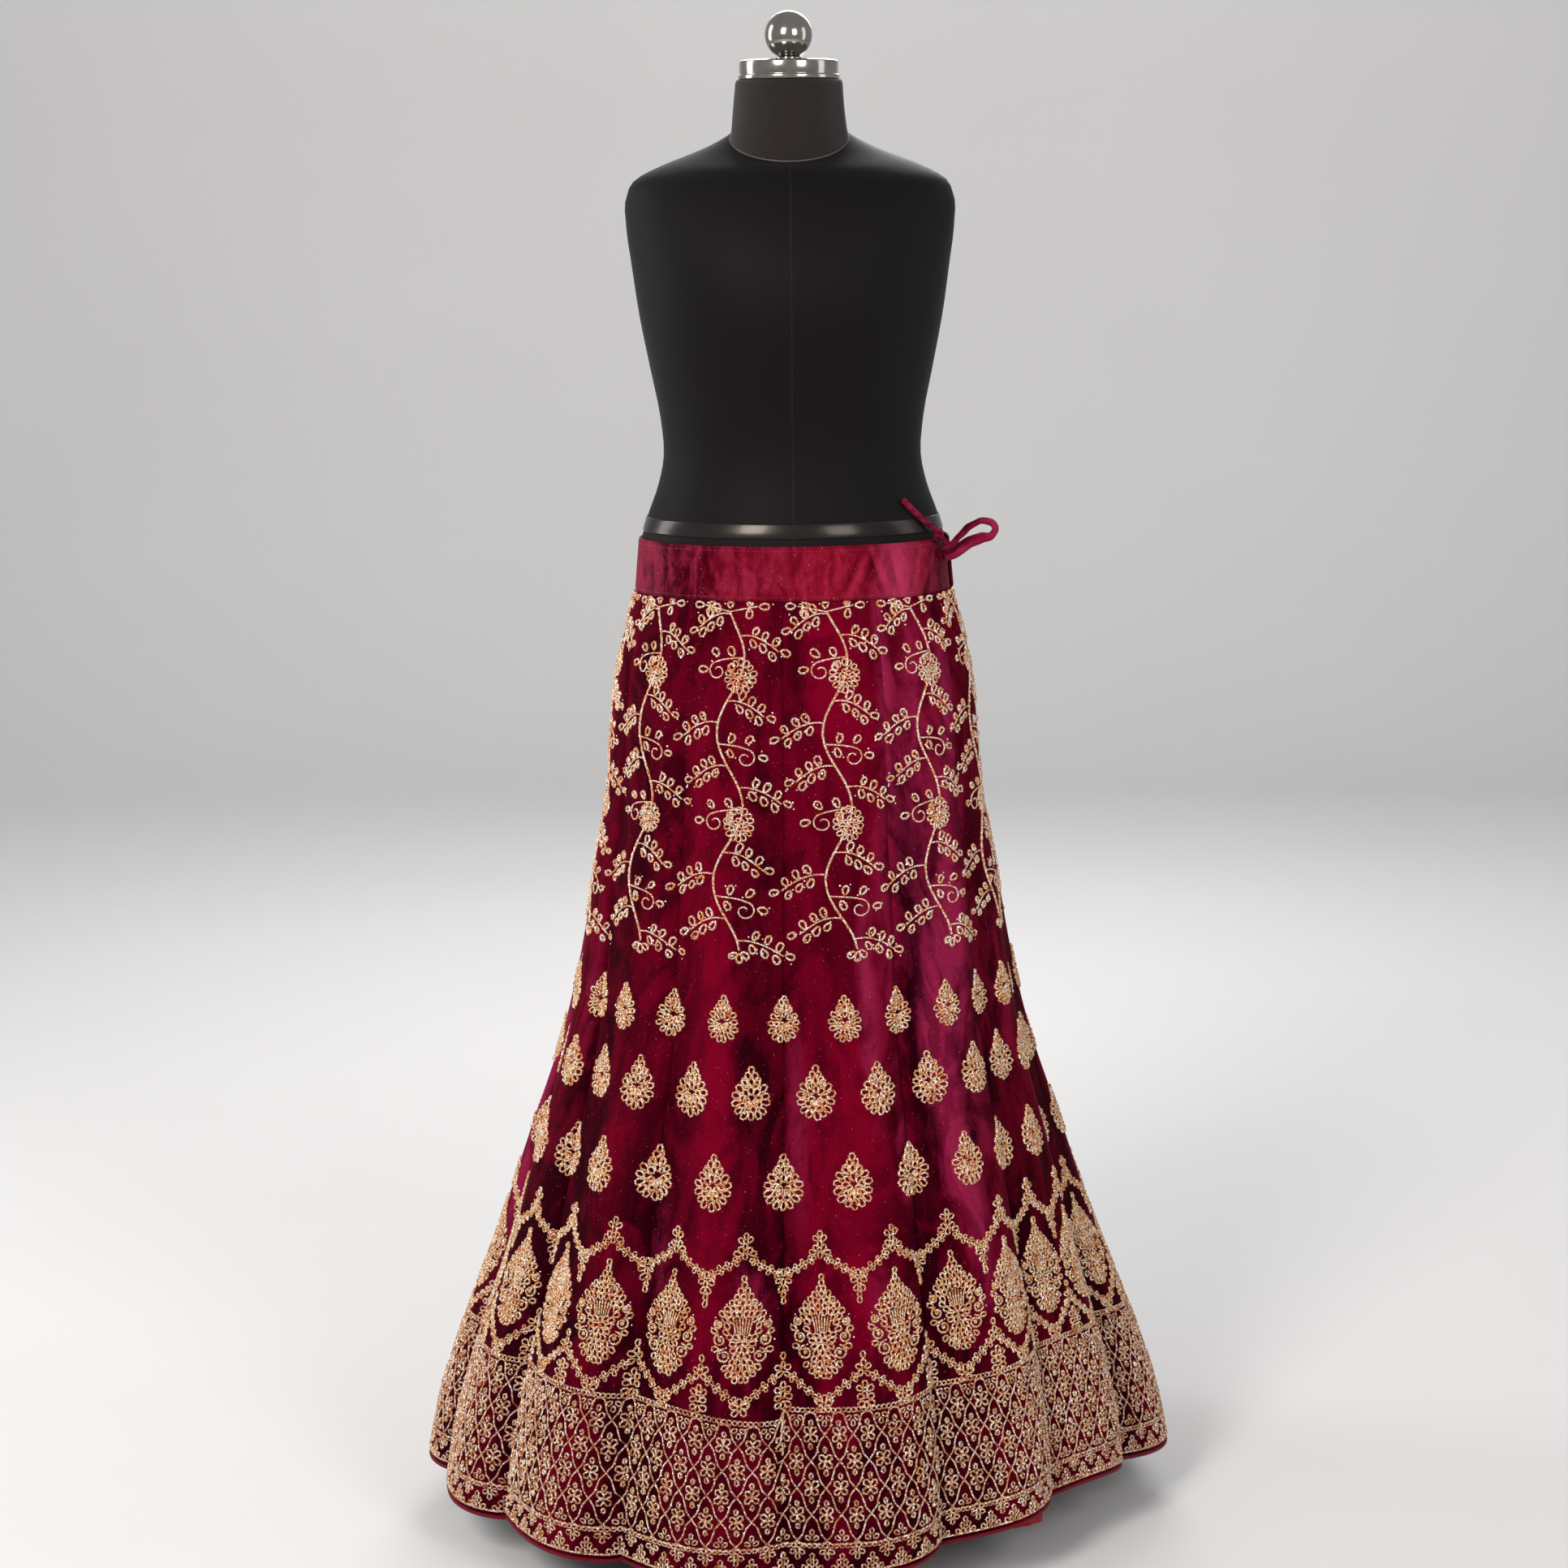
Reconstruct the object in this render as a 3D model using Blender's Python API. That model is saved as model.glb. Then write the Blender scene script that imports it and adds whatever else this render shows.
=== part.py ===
"""A panelled lehenga skirt with its waistband tied at the side, standing on a limbless dress form.

Metres, +Z up, +X to the wearer's left, the front towards -Y. The origin is the centre of the
underside of the stand's base.
"""

import math
from collections import namedtuple

import bpy
import numpy as np

# Driving sizes of the skirt.
PANELS = 14  # kalis, each flared from the hip to the hem
WAIST_SEAM = 0.979  # height of the seam between the kalis and the waistband
BAND_TOP = 1.034
HEM = 0.0546  # height of the kalis' lower edge, before the uneven lift
CLOTH = 0.0020  # velvet, zari work and lining together
BAND_CLOTH = 0.0030  # satin folded over its stiffening
SEAM_GAP = 0.0003
FRONT_SEAM = math.radians(-3.0)  # where the front centre seam lies
WAIST_SPREAD = 0.32  # how much wider the front kalis are than the back ones at the waist
FOLD_LEAN = 1.5  # above 1, a flute is fullest near its right-hand seam
FOLD_POWER = 0.7  # below 1, the seams lie in sharp valleys
PANEL_COLUMNS = 8
PANEL_ROWS = 14

Section = namedtuple("Section", "height half_width front back flute")
SKIRT_SECTIONS = (
    Section(0.979, 0.1634, 0.1248, 0.1288, 0.0003),
    Section(0.950, 0.1718, 0.1322, 0.1382, 0.0008),
    Section(0.900, 0.1840, 0.1460, 0.1540, 0.0020),
    Section(0.850, 0.1902, 0.1560, 0.1660, 0.0030),
    Section(0.770, 0.1985, 0.1700, 0.1800, 0.0045),
    Section(0.690, 0.2135, 0.1880, 0.1970, 0.0065),
    Section(0.590, 0.2305, 0.2090, 0.2160, 0.0090),
    Section(0.510, 0.2490, 0.2290, 0.2350, 0.0110),
    Section(0.405, 0.2830, 0.2640, 0.2690, 0.0140),
    Section(0.300, 0.3170, 0.2980, 0.3030, 0.0170),
    Section(0.190, 0.3595, 0.3390, 0.3440, 0.0200),
    Section(0.110, 0.3855, 0.3650, 0.3690, 0.0220),
    Section(0.054, 0.3965, 0.3770, 0.3800, 0.0230),
)

# One row for each kali, from the front centre seam towards the wearer's left. fullness scales
# its reach at the hem, lift raises its hem, valley scales the fold at its right-hand seam as
# seen from in front.
Kali = namedtuple("Kali", "fullness lift valley")
KALIS = (
    Kali(1.000, 0.002, 1.00),
    Kali(0.925, 0.016, 1.25),
    Kali(0.895, 0.022, 0.80),
    Kali(0.985, 0.004, 1.30),
    Kali(1.010, 0.002, 0.90),
    Kali(0.960, 0.008, 1.15),
    Kali(0.985, 0.004, 1.30),
    Kali(1.015, 0.000, 0.85),
    Kali(0.965, 0.007, 1.20),
    Kali(0.995, 0.003, 1.00),
    Kali(1.005, 0.001, 1.30),
    Kali(1.000, 0.002, 0.90),
    Kali(1.005, 0.000, 1.10),
    Kali(1.020, -0.003, 1.15),
)

# Waistband, its side placket and the trims.
BAND_COLUMN_STEP = math.radians(7.5)
BAND_FRONT_END = (math.radians(52.3), math.radians(63.0))  # at the seam, at the top
BAND_BACK_END = (math.radians(90.0), math.radians(84.0))
BAND_BOTTOM_REACH = (0.1634, 0.1248, 0.1288)  # half width, front, back
BAND_TOP_REACH = (0.1586, 0.1202, 0.1242)
UNDERLAP_CLOTH = 0.0012
UNDERLAP_SPAN = (math.radians(45.0), math.radians(97.5))
UNDERLAP_TOP = 1.029
LIFT_RAMP = math.radians(15.0)
PIPING_RADIUS = 0.0020
LINING_CLOTH = 0.0012
LINING_KALI = 1  # counted from the front centre seam
LINING_COLUMNS = (4, 6)  # of the kali's own columns
LINING_DROP = 0.014  # how far the corner's low end hangs below the hem
LOOP_WIDTH = 0.0070
LOOP_DEPTH = 0.0044
TIE_RADIUS = 0.0024
TIE_END_RADIUS = 0.0029

# Dress form and stand.
FORM_COLUMNS = 48
FORM_CLEARANCE = 0.0003
TAPE_BOTTOM = 1.0415
TAPE_TOP = 1.0560
TAPE_THICKNESS = 0.0010
SHOULDER = 1.360  # where the slope up to the neck begins
NECK_BASE = 1.436
NECK_TOP = 1.4940
NECK_TILT = 0.024  # the neck seam is lower in front than at the sides
NECK_BASE_RADIUS = 0.0602
NECK_TOP_RADIUS = 0.0540
CAP_RADIUS = 0.0512
CAP_TOP = 1.5145
CAP_EDGE = 0.0015
BALL_RADIUS = 0.0240
BALL_CENTRE = 1.5385
BALL_FOOT_RADIUS = 0.0135
BALL_STEM_RADIUS = 0.0098
TORSO_BOTTOM = 0.800
POLE_RADIUS = 0.016
BASE_RADIUS = 0.175
BASE_HEIGHT = 0.012
BASE_EDGE = 0.003
COLLAR_RADIUS = 0.030
COLLAR_TOP = 0.055

Girth = namedtuple("Girth", "height half_width front back")
FORM_HIP_SECTIONS = (
    Girth(TORSO_BOTTOM, 0.1380, 0.1000, 0.1080),
    Girth(0.806, 0.1480, 0.1080, 0.1170),
    Girth(0.830, 0.1590, 0.1170, 0.1270),
    Girth(0.880, 0.1655, 0.1215, 0.1330),
    Girth(0.930, 0.1650, 0.1215, 0.1300),
    Girth(0.960, 0.1625, 0.1215, 0.1275),
)
FORM_CHEST_SECTIONS = (
    Girth(TAPE_BOTTOM, 0.1532, 0.1150, 0.1188),
    Girth(TAPE_TOP, 0.1490, 0.1118, 0.1150),
    Girth(1.085, 0.1385, 0.1050, 0.1050),
    Girth(1.115, 0.1320, 0.1015, 0.0980),
    Girth(1.155, 0.1345, 0.1040, 0.0950),
    Girth(1.205, 0.1440, 0.1160, 0.0965),
    Girth(1.260, 0.1545, 0.1290, 0.1000),
    Girth(1.310, 0.1615, 0.1260, 0.1020),
    Girth(1.350, 0.1665, 0.1120, 0.1010),
    Girth(1.378, 0.1660, 0.0970, 0.0960),
    Girth(1.398, 0.1540, 0.0860, 0.0880),
    Girth(1.412, 0.1240, 0.0760, 0.0790),
    Girth(1.424, 0.0880, 0.0670, 0.0690),
    Girth(1.432, 0.0680, 0.0620, 0.0640),
)


def clear_scene():
    for thing in list(bpy.data.objects):
        bpy.data.objects.remove(thing, do_unlink=True)


def finish(name, colour, roughness, metallic=0.0):
    """A Principled material with one colour, roughness and metallic value."""
    material = bpy.data.materials.new(name)
    material.use_nodes = True
    shader = material.node_tree.nodes["Principled BSDF"]
    shader.inputs["Base Color"].default_value = (*colour, 1.0)
    shader.inputs["Roughness"].default_value = roughness
    shader.inputs["Metallic"].default_value = metallic
    material.diffuse_color = (*colour, 1.0)
    return material


def full_circle(columns):
    return 2 * math.pi * np.arange(columns) / columns


def add_solid(name, points, faces, material, smooth=True):
    """One closed body from an array of points and a list of faces that point outwards."""
    mesh = bpy.data.meshes.new(name)
    mesh.from_pydata([tuple(point) for point in points], [], faces)
    mesh.validate()
    if smooth:
        mesh.shade_smooth()
        mesh.set_sharp_from_angle(angle=math.radians(40.0))
    mesh.materials.append(material)
    solid = bpy.data.objects.new(name, mesh)
    bpy.context.collection.objects.link(solid)
    return solid


def flowing(x, known_x, known_y):
    """Cubic Hermite curve through the known points, with the slopes of its neighbours."""
    known_x = np.asarray(known_x, float)
    known_y = np.asarray(known_y, float)
    slope = np.gradient(known_y, known_x)
    x = np.clip(x, known_x[0], known_x[-1])
    i = np.clip(np.searchsorted(known_x, x, side="right") - 1, 0, len(known_x) - 2)
    span = known_x[i + 1] - known_x[i]
    t = (x - known_x[i]) / span
    rise = known_y[i] * (1 + 2 * t) * (1 - t) ** 2 + known_y[i + 1] * t * t * (3 - 2 * t)
    return rise + span * (slope[i] * t * (1 - t) ** 2 - slope[i + 1] * t * t * (1 - t))


def round_the_skirt(turn, values):
    """Smooth periodic curve through one value at the middle of each kali."""
    middles = np.arange(-2, PANELS + 2) + 0.5
    return flowing(np.mod(turn, PANELS), middles, np.take(values, np.arange(-2, PANELS + 2), mode="wrap"))


def ease(t):
    t = np.clip(t, 0.0, 1.0)
    return t * t * (3 - 2 * t)


SECTION_HEIGHTS = [s.height for s in reversed(SKIRT_SECTIONS)]


def skirt_section(height, column):
    return flowing(height, SECTION_HEIGHTS, [getattr(s, column) for s in reversed(SKIRT_SECTIONS)])


def cloth_angle(turn, fall):
    """Angle from the front of a place on the cloth, in radians."""
    even = 2 * math.pi * turn / PANELS + FRONT_SEAM
    return even + WAIST_SPREAD * (1 - fall) * np.sin(even)


def fold_depth(turn, height):
    """How far the cloth lies inside its section: nothing at a flute's crest, most at a seam."""
    panel = np.floor(turn)
    across = turn - panel
    crest = np.abs(np.sin(math.pi * across**FOLD_LEAN)) ** FOLD_POWER
    valleys = np.array([kali.valley for kali in KALIS])
    left = valleys[np.mod(panel.astype(int), PANELS)]
    right = valleys[np.mod(panel.astype(int) + 1, PANELS)]
    return skirt_section(height, "flute") * (left + (right - left) * ease(across)) * (1 - crest)


def cloth_point(turn, fall, inset=0.0):
    """Place of the skirt's cloth: turn counts kalis round it, fall is 0 at the waist, 1 at the hem.

    The height falls evenly and the uneven lift grows with the square of the fall. The reach is the
    section's, scaled by the kali's fullness towards the hem, less the fold and the inset.
    """
    turn = np.asarray(turn, float)
    fall = np.asarray(fall, float)
    lift = round_the_skirt(turn, [kali.lift for kali in KALIS])
    fullness = round_the_skirt(turn, [kali.fullness for kali in KALIS])
    height = WAIST_SEAM - (WAIST_SEAM - HEM) * fall + lift * fall**2
    swell = 1 + (fullness - 1) * fall**1.5
    angle = cloth_angle(turn, fall)
    depth = np.where(np.cos(angle) > 0, skirt_section(height, "front"), skirt_section(height, "back"))
    inward = fold_depth(turn, height) + inset
    x = (skirt_section(height, "half_width") * swell - inward) * np.sin(angle)
    y = -(depth * swell - inward) * np.cos(angle)
    return np.stack([x, y, height], axis=-1)


def wall_faces(rows, columns):
    """Faces of a closed wall whose outer points come first, row by row from the top, then the inner.

    Columns run anticlockwise seen from above, so the outer faces look outwards.
    """
    def outer(row, column):
        return row * columns + column

    def inner(row, column):
        return rows * columns + row * columns + column

    faces = []
    for row in range(rows - 1):
        for column in range(columns - 1):
            corners = ((row, column), (row + 1, column), (row + 1, column + 1), (row, column + 1))
            faces.append([outer(*corner) for corner in corners])
            faces.append([inner(*corner) for corner in reversed(corners)])
    rim = [(0, column) for column in range(columns)]
    rim += [(row, columns - 1) for row in range(1, rows)]
    rim += [(rows - 1, column) for column in range(columns - 2, -1, -1)]
    rim += [(row, 0) for row in range(rows - 2, 0, -1)]
    for here, there in zip(rim, rim[1:] + rim[:1]):
        faces.append([outer(*here), outer(*there), inner(*there), inner(*here)])
    return faces


def tube_faces(rows, columns, capped=True):
    """Faces of a tube of closed rings, each ring anticlockwise seen from the end of the path."""
    faces = []
    for row in range(rows - 1 if capped else rows):
        below = row * columns
        above = (row + 1) % rows * columns
        for column in range(columns):
            after = (column + 1) % columns
            faces.append([below + column, below + after, above + after, above + column])
    if capped:
        faces.append(list(range(columns))[::-1])
        faces.append([(rows - 1) * columns + column for column in range(columns)])
    return faces


def panel_columns():
    """Where a kali's columns lie across it: closer together near the folds at its seams."""
    return 0.5 - 0.5 * np.cos(math.pi * np.arange(PANEL_COLUMNS + 1) / PANEL_COLUMNS)


def build_kali(number, material):
    """One flared panel: a wall from seam to seam, closer columns near the folds at its seams."""
    fall = np.arange(PANEL_ROWS + 1) / PANEL_ROWS
    turn, drop = np.meshgrid(number + panel_columns(), fall)
    turn[:, -1] -= 1e-9
    outer = cloth_point(turn, drop)
    inner = cloth_point(turn, drop, CLOTH)
    for wall in (outer, inner):
        along = wall[:, -1] - wall[:, 0]
        along /= np.linalg.norm(along, axis=-1, keepdims=True)
        wall[:, 0] += along * SEAM_GAP / 2
        wall[:, -1] -= along * SEAM_GAP / 2
        wall[0, :, 2] -= SEAM_GAP / 2
    points = np.concatenate([outer.reshape(-1, 3), inner.reshape(-1, 3)])
    add_solid(f"kali_{number + 1:02d}", points, wall_faces(PANEL_ROWS + 1, PANEL_COLUMNS + 1), material)


def oval(angle, half_width, front, back):
    """A point of an egg-shaped section, its front half and back half of different depth."""
    depth = np.where(np.cos(angle) > 0, front, back)
    return half_width * np.sin(angle), -depth * np.cos(angle)


def band_reach(height):
    share = (height - WAIST_SEAM) / (BAND_TOP - WAIST_SEAM)
    return [low + (high - low) * share for low, high in zip(BAND_BOTTOM_REACH, BAND_TOP_REACH)]


def placket_lift(angle):
    """How far the band stands off the form where it lies over the placket's underlap."""
    start, end = UNDERLAP_SPAN
    rise = ease((angle - start + LIFT_RAMP) / LIFT_RAMP) * ease((end + LIFT_RAMP - angle) / LIFT_RAMP)
    return (UNDERLAP_CLOTH + 2.5 * SEAM_GAP) * rise


def band_point(angle, height, outward=0.0):
    """A point of the waistband's outer face, moved outward."""
    half_width, front, back = band_reach(height)
    round_angle = np.mod(angle + math.pi, 2 * math.pi) - math.pi
    extra = outward + placket_lift(round_angle)
    x, y = oval(angle, half_width + extra, front + extra, back + extra)
    return np.stack([x, y, np.broadcast_to(height, np.shape(x))], axis=-1)


def build_waistband(material):
    """An open band from the placket's back edge round the back and the front to its front edge.

    Its columns lie on the form's own, apart from a few that fan out to its two slanting ends.
    """
    ends = UNDERLAP_SPAN[1], 2 * math.pi + UNDERLAP_SPAN[0]
    middles = np.arange(round(ends[0] / BAND_COLUMN_STEP), round(ends[1] / BAND_COLUMN_STEP) + 1)
    middles = middles * BAND_COLUMN_STEP
    outer_rows = []
    inner_rows = []
    for share in (1.0, 0.5, 0.0):
        height = WAIST_SEAM + SEAM_GAP / 2 + (BAND_TOP - WAIST_SEAM - SEAM_GAP / 2) * share
        back_end = BAND_BACK_END[0] + (BAND_BACK_END[1] - BAND_BACK_END[0]) * share
        front_end = 2 * math.pi + BAND_FRONT_END[0] + (BAND_FRONT_END[1] - BAND_FRONT_END[0]) * share
        fan_back = np.linspace(back_end, middles[0], 3)[:-1]
        fan_front = np.linspace(middles[-1], front_end, 4)[1:]
        angles = np.concatenate([fan_back, middles, fan_front])
        outer_rows.append(band_point(angles, height))
        inner_rows.append(band_point(angles, height, -BAND_CLOTH))
    points = np.concatenate([np.concatenate(outer_rows), np.concatenate(inner_rows)])
    add_solid("waistband", points, wall_faces(3, len(outer_rows[0])), material)


def build_underlap(material):
    """The placket's under layer, which shows in the notch between the band's two ends."""
    start, end = UNDERLAP_SPAN
    angles = np.arange(round(start / BAND_COLUMN_STEP), round(end / BAND_COLUMN_STEP) + 1)
    angles = angles * BAND_COLUMN_STEP
    walls = []
    for outward in (UNDERLAP_CLOTH, 0.0):
        for height in (UNDERLAP_TOP, WAIST_SEAM + SEAM_GAP / 2):
            reach = [size - BAND_CLOTH + outward for size in band_reach(height)]
            x, y = oval(angles, *reach)
            walls.append(np.stack([x, y, np.full_like(x, height)], axis=-1))
    add_solid("placket_underlap", np.concatenate(walls), wall_faces(2, len(angles)), material)


def build_piping(material):
    """A corded edge that follows the hem's flutes, 0.3 mm below the kalis."""
    turn = (np.arange(PANELS)[:, None] + panel_columns()[None, :-1]).ravel()
    hem = np.ones_like(turn)
    middle = cloth_point(turn, hem, CLOTH / 2)
    middle[:, 2] -= PIPING_RADIUS + SEAM_GAP
    outward = cloth_point(turn, hem, -1.0) - cloth_point(turn, hem)
    outward /= np.linalg.norm(outward, axis=-1, keepdims=True)
    rings = []
    for side in range(4):
        angle = side * math.pi / 2
        offset = math.cos(angle) * outward - math.sin(angle) * np.array([0.0, 0.0, 1.0])
        rings.append(middle + PIPING_RADIUS * offset)
    points = np.stack(rings, axis=1).reshape(-1, 3)
    add_solid("hem_piping", points, tube_faces(len(turn), 4, capped=False), material, smooth=False)


def build_lining_corner(material):
    """The one corner of lining that hangs below the hem, lying against the inside of its kali."""
    first, last = LINING_COLUMNS
    turn = LINING_KALI + panel_columns()[first : last + 1]
    fall = np.array([1 - 1 / PANEL_ROWS, 1.0, 1.0])
    columns, drop = np.meshgrid(turn, fall)
    clear_of_piping = np.array([0.0, PIPING_RADIUS, PIPING_RADIUS * 1.5])[:, None]
    hang = 0.15 + 0.85 * (columns - turn[0]) / (turn[-1] - turn[0])
    below = np.array([0.0, 0.0, 1.0])[:, None] * (PIPING_RADIUS * 2 + LINING_DROP * hang)
    walls = []
    for inset in (CLOTH + SEAM_GAP, CLOTH + SEAM_GAP + LINING_CLOTH):
        wall = cloth_point(columns, drop, inset + clear_of_piping)
        wall[..., 2] -= below
        walls.append(wall.reshape(-1, 3))
    add_solid("lining_corner", np.concatenate(walls), wall_faces(3, len(turn)), material)


def sweep(name, path, wide, thin, width_axis, material, sides=8):
    """A tube of oval section along a path, its wide way kept as near width_axis as it goes."""
    path = np.asarray(path, float)
    ahead = np.gradient(path, axis=0)
    ahead /= np.linalg.norm(ahead, axis=-1, keepdims=True)
    across = np.asarray(width_axis, float) - ahead * (ahead @ np.asarray(width_axis, float))[:, None]
    across /= np.linalg.norm(across, axis=-1, keepdims=True)
    up = np.cross(ahead, across)
    angle = full_circle(sides)[None, :, None]
    ring = wide / 2 * np.cos(angle) * across[:, None] + thin / 2 * np.sin(angle) * up[:, None]
    points = (path[:, None] + ring).reshape(-1, 3)
    add_solid(name, points, tube_faces(len(path), sides), material)


def smooth_route(points, count):
    """Evenly spaced points on a smooth curve through the route's own points."""
    points = np.asarray(points, float)
    reach = np.concatenate([[0.0], np.cumsum(np.linalg.norm(np.diff(points, axis=0), axis=1))])
    fine = np.linspace(0.0, reach[-1], count)
    return np.stack([flowing(fine, reach, points[:, axis]) for axis in range(3)], axis=-1)


# Routes by hand, in metres. The loop leaves the band beside the placket, stands out and comes back.
HANGER_LOOP_ROUTE = (
    (0.1514, -0.0388, 1.0208),
    (0.1575, -0.0396, 1.0235),
    (0.1685, -0.0398, 1.0342),
    (0.1803, -0.0385, 1.0453),
    (0.1934, -0.0370, 1.0505),
    (0.2022, -0.0355, 1.0484),
    (0.2065, -0.0340, 1.0410),
    (0.2022, -0.0325, 1.0349),
    (0.1930, -0.0315, 1.0320),
    (0.1829, -0.0308, 1.0281),
    (0.1740, -0.0302, 1.0222),
    (0.1640, -0.0300, 1.0145),
    (0.1547, -0.0298, 1.0120),
)


def build_hanger_loop(material):
    route = smooth_route(HANGER_LOOP_ROUTE, 27)
    sweep("hanger_loop", route, LOOP_DEPTH, LOOP_WIDTH, (0.0, 1.0, 0.0), material)


def add_cord(name, route, radius, material):
    """A round cord along a smooth route, as a bevelled curve with filled caps."""
    curve = bpy.data.curves.new(name, "CURVE")
    curve.dimensions = "3D"
    curve.bevel_depth = radius
    curve.bevel_resolution = 2
    curve.use_fill_caps = True
    spline = curve.splines.new("POLY")
    spline.points.add(len(route) - 1)
    spline.points.foreach_set("co", np.concatenate([route, np.ones((len(route), 1))], axis=1).ravel())
    curve.materials.append(material)
    cord = bpy.data.objects.new(name, curve)
    bpy.context.collection.objects.link(cord)
    return cord


def form_point(angle, height, outward):
    """A point of the dress form's surface between its sections, moved outward."""
    rows = form_girths()
    heights = [row.height for row in rows]
    reach = [np.interp(height, heights, [row[side] for row in rows]) + outward for side in (1, 2, 3)]
    x, y = oval(angle, *reach)
    return np.stack([x, y, np.broadcast_to(height, np.shape(x))], axis=-1)


# The tie goes from the hanger loop's root up to the knot on the band's top edge, and its end lies
# up over the form's waist tape. Stations are an angle in degrees, a height and a gap below the cord.
TIE_LOWER_STATIONS = ((71.4, 1.0272, 0.0010), (68.6, 1.0322, 0.0010), (66.4, 1.0352, 0.0014))
KNOT_STATION = (64.0, 1.0390, -0.0010)
TIE_END_STATIONS = (
    (63.4, 1.0443, 0.0052),
    (60.0, 1.0512, 0.0024),
    (57.0, 1.0575, 0.0012),
    (53.5, 1.0660, 0.0005),
    (49.5, 1.0760, 0.0004),
)
KNOT_SIZE = (0.0058, 0.0048, 0.0076)
KNOT_LEAN = math.radians(-35.0)


def build_ties(material):
    lower = [band_point(np.radians(a), z, TIE_RADIUS + gap) for a, z, gap in TIE_LOWER_STATIONS]
    end = [form_point(np.radians(a), z, TIE_END_RADIUS + gap) for a, z, gap in TIE_END_STATIONS]
    add_cord("tie_lower", smooth_route(lower, 4), TIE_RADIUS, material)
    add_cord("tie_end", smooth_route(end, 8), TIE_END_RADIUS, material)


def build_knot(material):
    """The knot: a small turned egg, leaning with the tie."""
    degrees, height, gap = KNOT_STATION
    centre = band_point(np.radians(degrees), height, KNOT_SIZE[1] + gap)
    rows, columns = 7, 10
    polar = math.pi * np.arange(1, rows + 1) / (rows + 1)
    turn = 2 * math.pi * np.arange(columns) / columns
    shape = np.stack([
        KNOT_SIZE[0] * np.outer(np.sin(polar), np.cos(turn)),
        KNOT_SIZE[1] * np.outer(np.sin(polar), np.sin(turn)),
        -KNOT_SIZE[2] * np.outer(np.cos(polar), np.ones(columns)),
    ], axis=-1)
    lean = KNOT_LEAN
    turned = shape.copy()
    turned[..., 0] = shape[..., 0] * math.cos(lean) - shape[..., 2] * math.sin(lean)
    turned[..., 2] = shape[..., 0] * math.sin(lean) + shape[..., 2] * math.cos(lean)
    swing = math.radians(degrees)
    placed = turned.copy()
    placed[..., 0] = turned[..., 0] * math.cos(swing) - turned[..., 1] * math.sin(swing)
    placed[..., 1] = turned[..., 0] * math.sin(swing) + turned[..., 1] * math.cos(swing)
    add_solid("tie_knot", (placed + centre).reshape(-1, 3), tube_faces(rows, columns), material)


def ring_stack(rings):
    """A closed body from rings of the same count, lowest first, capped at both ends."""
    points = np.concatenate(rings)
    return points, tube_faces(len(rings), len(rings[0]))


def form_girths():
    """The form's sections from its underside to below the neck; the band fits two of them."""
    inside = BAND_CLOTH + FORM_CLEARANCE
    at_band = (
        Girth(WAIST_SEAM, *[size - inside for size in BAND_BOTTOM_REACH]),
        Girth(BAND_TOP, *[size - inside for size in BAND_TOP_REACH]),
    )
    return FORM_HIP_SECTIONS + at_band + FORM_CHEST_SECTIONS


def form_rings():
    angle = full_circle(FORM_COLUMNS)
    rings = []
    for girth in form_girths():
        x, y = oval(angle, girth.half_width, girth.front, girth.back)
        near_neck = ease((girth.height - SHOULDER) / (NECK_BASE - SHOULDER))
        tilt = NECK_TILT * near_neck * min(1.0, NECK_BASE_RADIUS / girth.half_width)
        z = girth.height - tilt * np.cos(angle)
        rings.append(np.stack([x, y, z], axis=-1))
    x, y = oval(angle, NECK_BASE_RADIUS, NECK_BASE_RADIUS, NECK_BASE_RADIUS)
    rings.append(np.stack([x, y, NECK_BASE - SEAM_GAP - NECK_TILT * np.cos(angle)], axis=-1))
    return rings


def build_torso(material):
    points, faces = ring_stack(form_rings())
    add_solid("form_torso", points, faces, material)


def build_waist_tape(material):
    """A glossy tape round the form just above the skirt's waistband."""
    angle = full_circle(FORM_COLUMNS)
    bottom, top = FORM_CHEST_SECTIONS[0], FORM_CHEST_SECTIONS[1]
    rings = []
    for girth, outward in ((bottom, 0.0), (bottom, 1.0), (top, 1.0), (top, 0.0)):
        extra = FORM_CLEARANCE + TAPE_THICKNESS * outward
        x, y = oval(angle, girth.half_width + extra, girth.front + extra, girth.back + extra)
        rings.append(np.stack([x, y, np.full_like(x, girth.height)], axis=-1))
    faces = tube_faces(len(rings), FORM_COLUMNS, capped=False)
    add_solid("form_waist_tape", np.concatenate(rings), faces, material)


def turned_solid(name, profile, material, columns=32):
    """A solid turned about the pole from (radius, height) pairs, lowest first."""
    angle = full_circle(columns)
    rings = []
    for radius, height in profile:
        x, y = oval(angle, radius, radius, radius)
        rings.append(np.stack([x, y, np.full_like(angle, height)], axis=-1))
    points, faces = ring_stack(rings)
    return add_solid(name, points, faces, material)


def build_neck(material):
    angle = full_circle(32)
    rings = []
    for share in (0.0, 0.35, 0.7, 1.0):
        radius = NECK_BASE_RADIUS + (NECK_TOP_RADIUS - NECK_BASE_RADIUS) * share**0.7
        height = NECK_BASE + (NECK_TOP - NECK_BASE) * share - NECK_TILT * (1 - share) * np.cos(angle)
        rings.append(np.stack([radius * np.sin(angle), -radius * np.cos(angle), height], axis=-1))
    points, faces = ring_stack(rings)
    add_solid("form_neck", points, faces, material)


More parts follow.
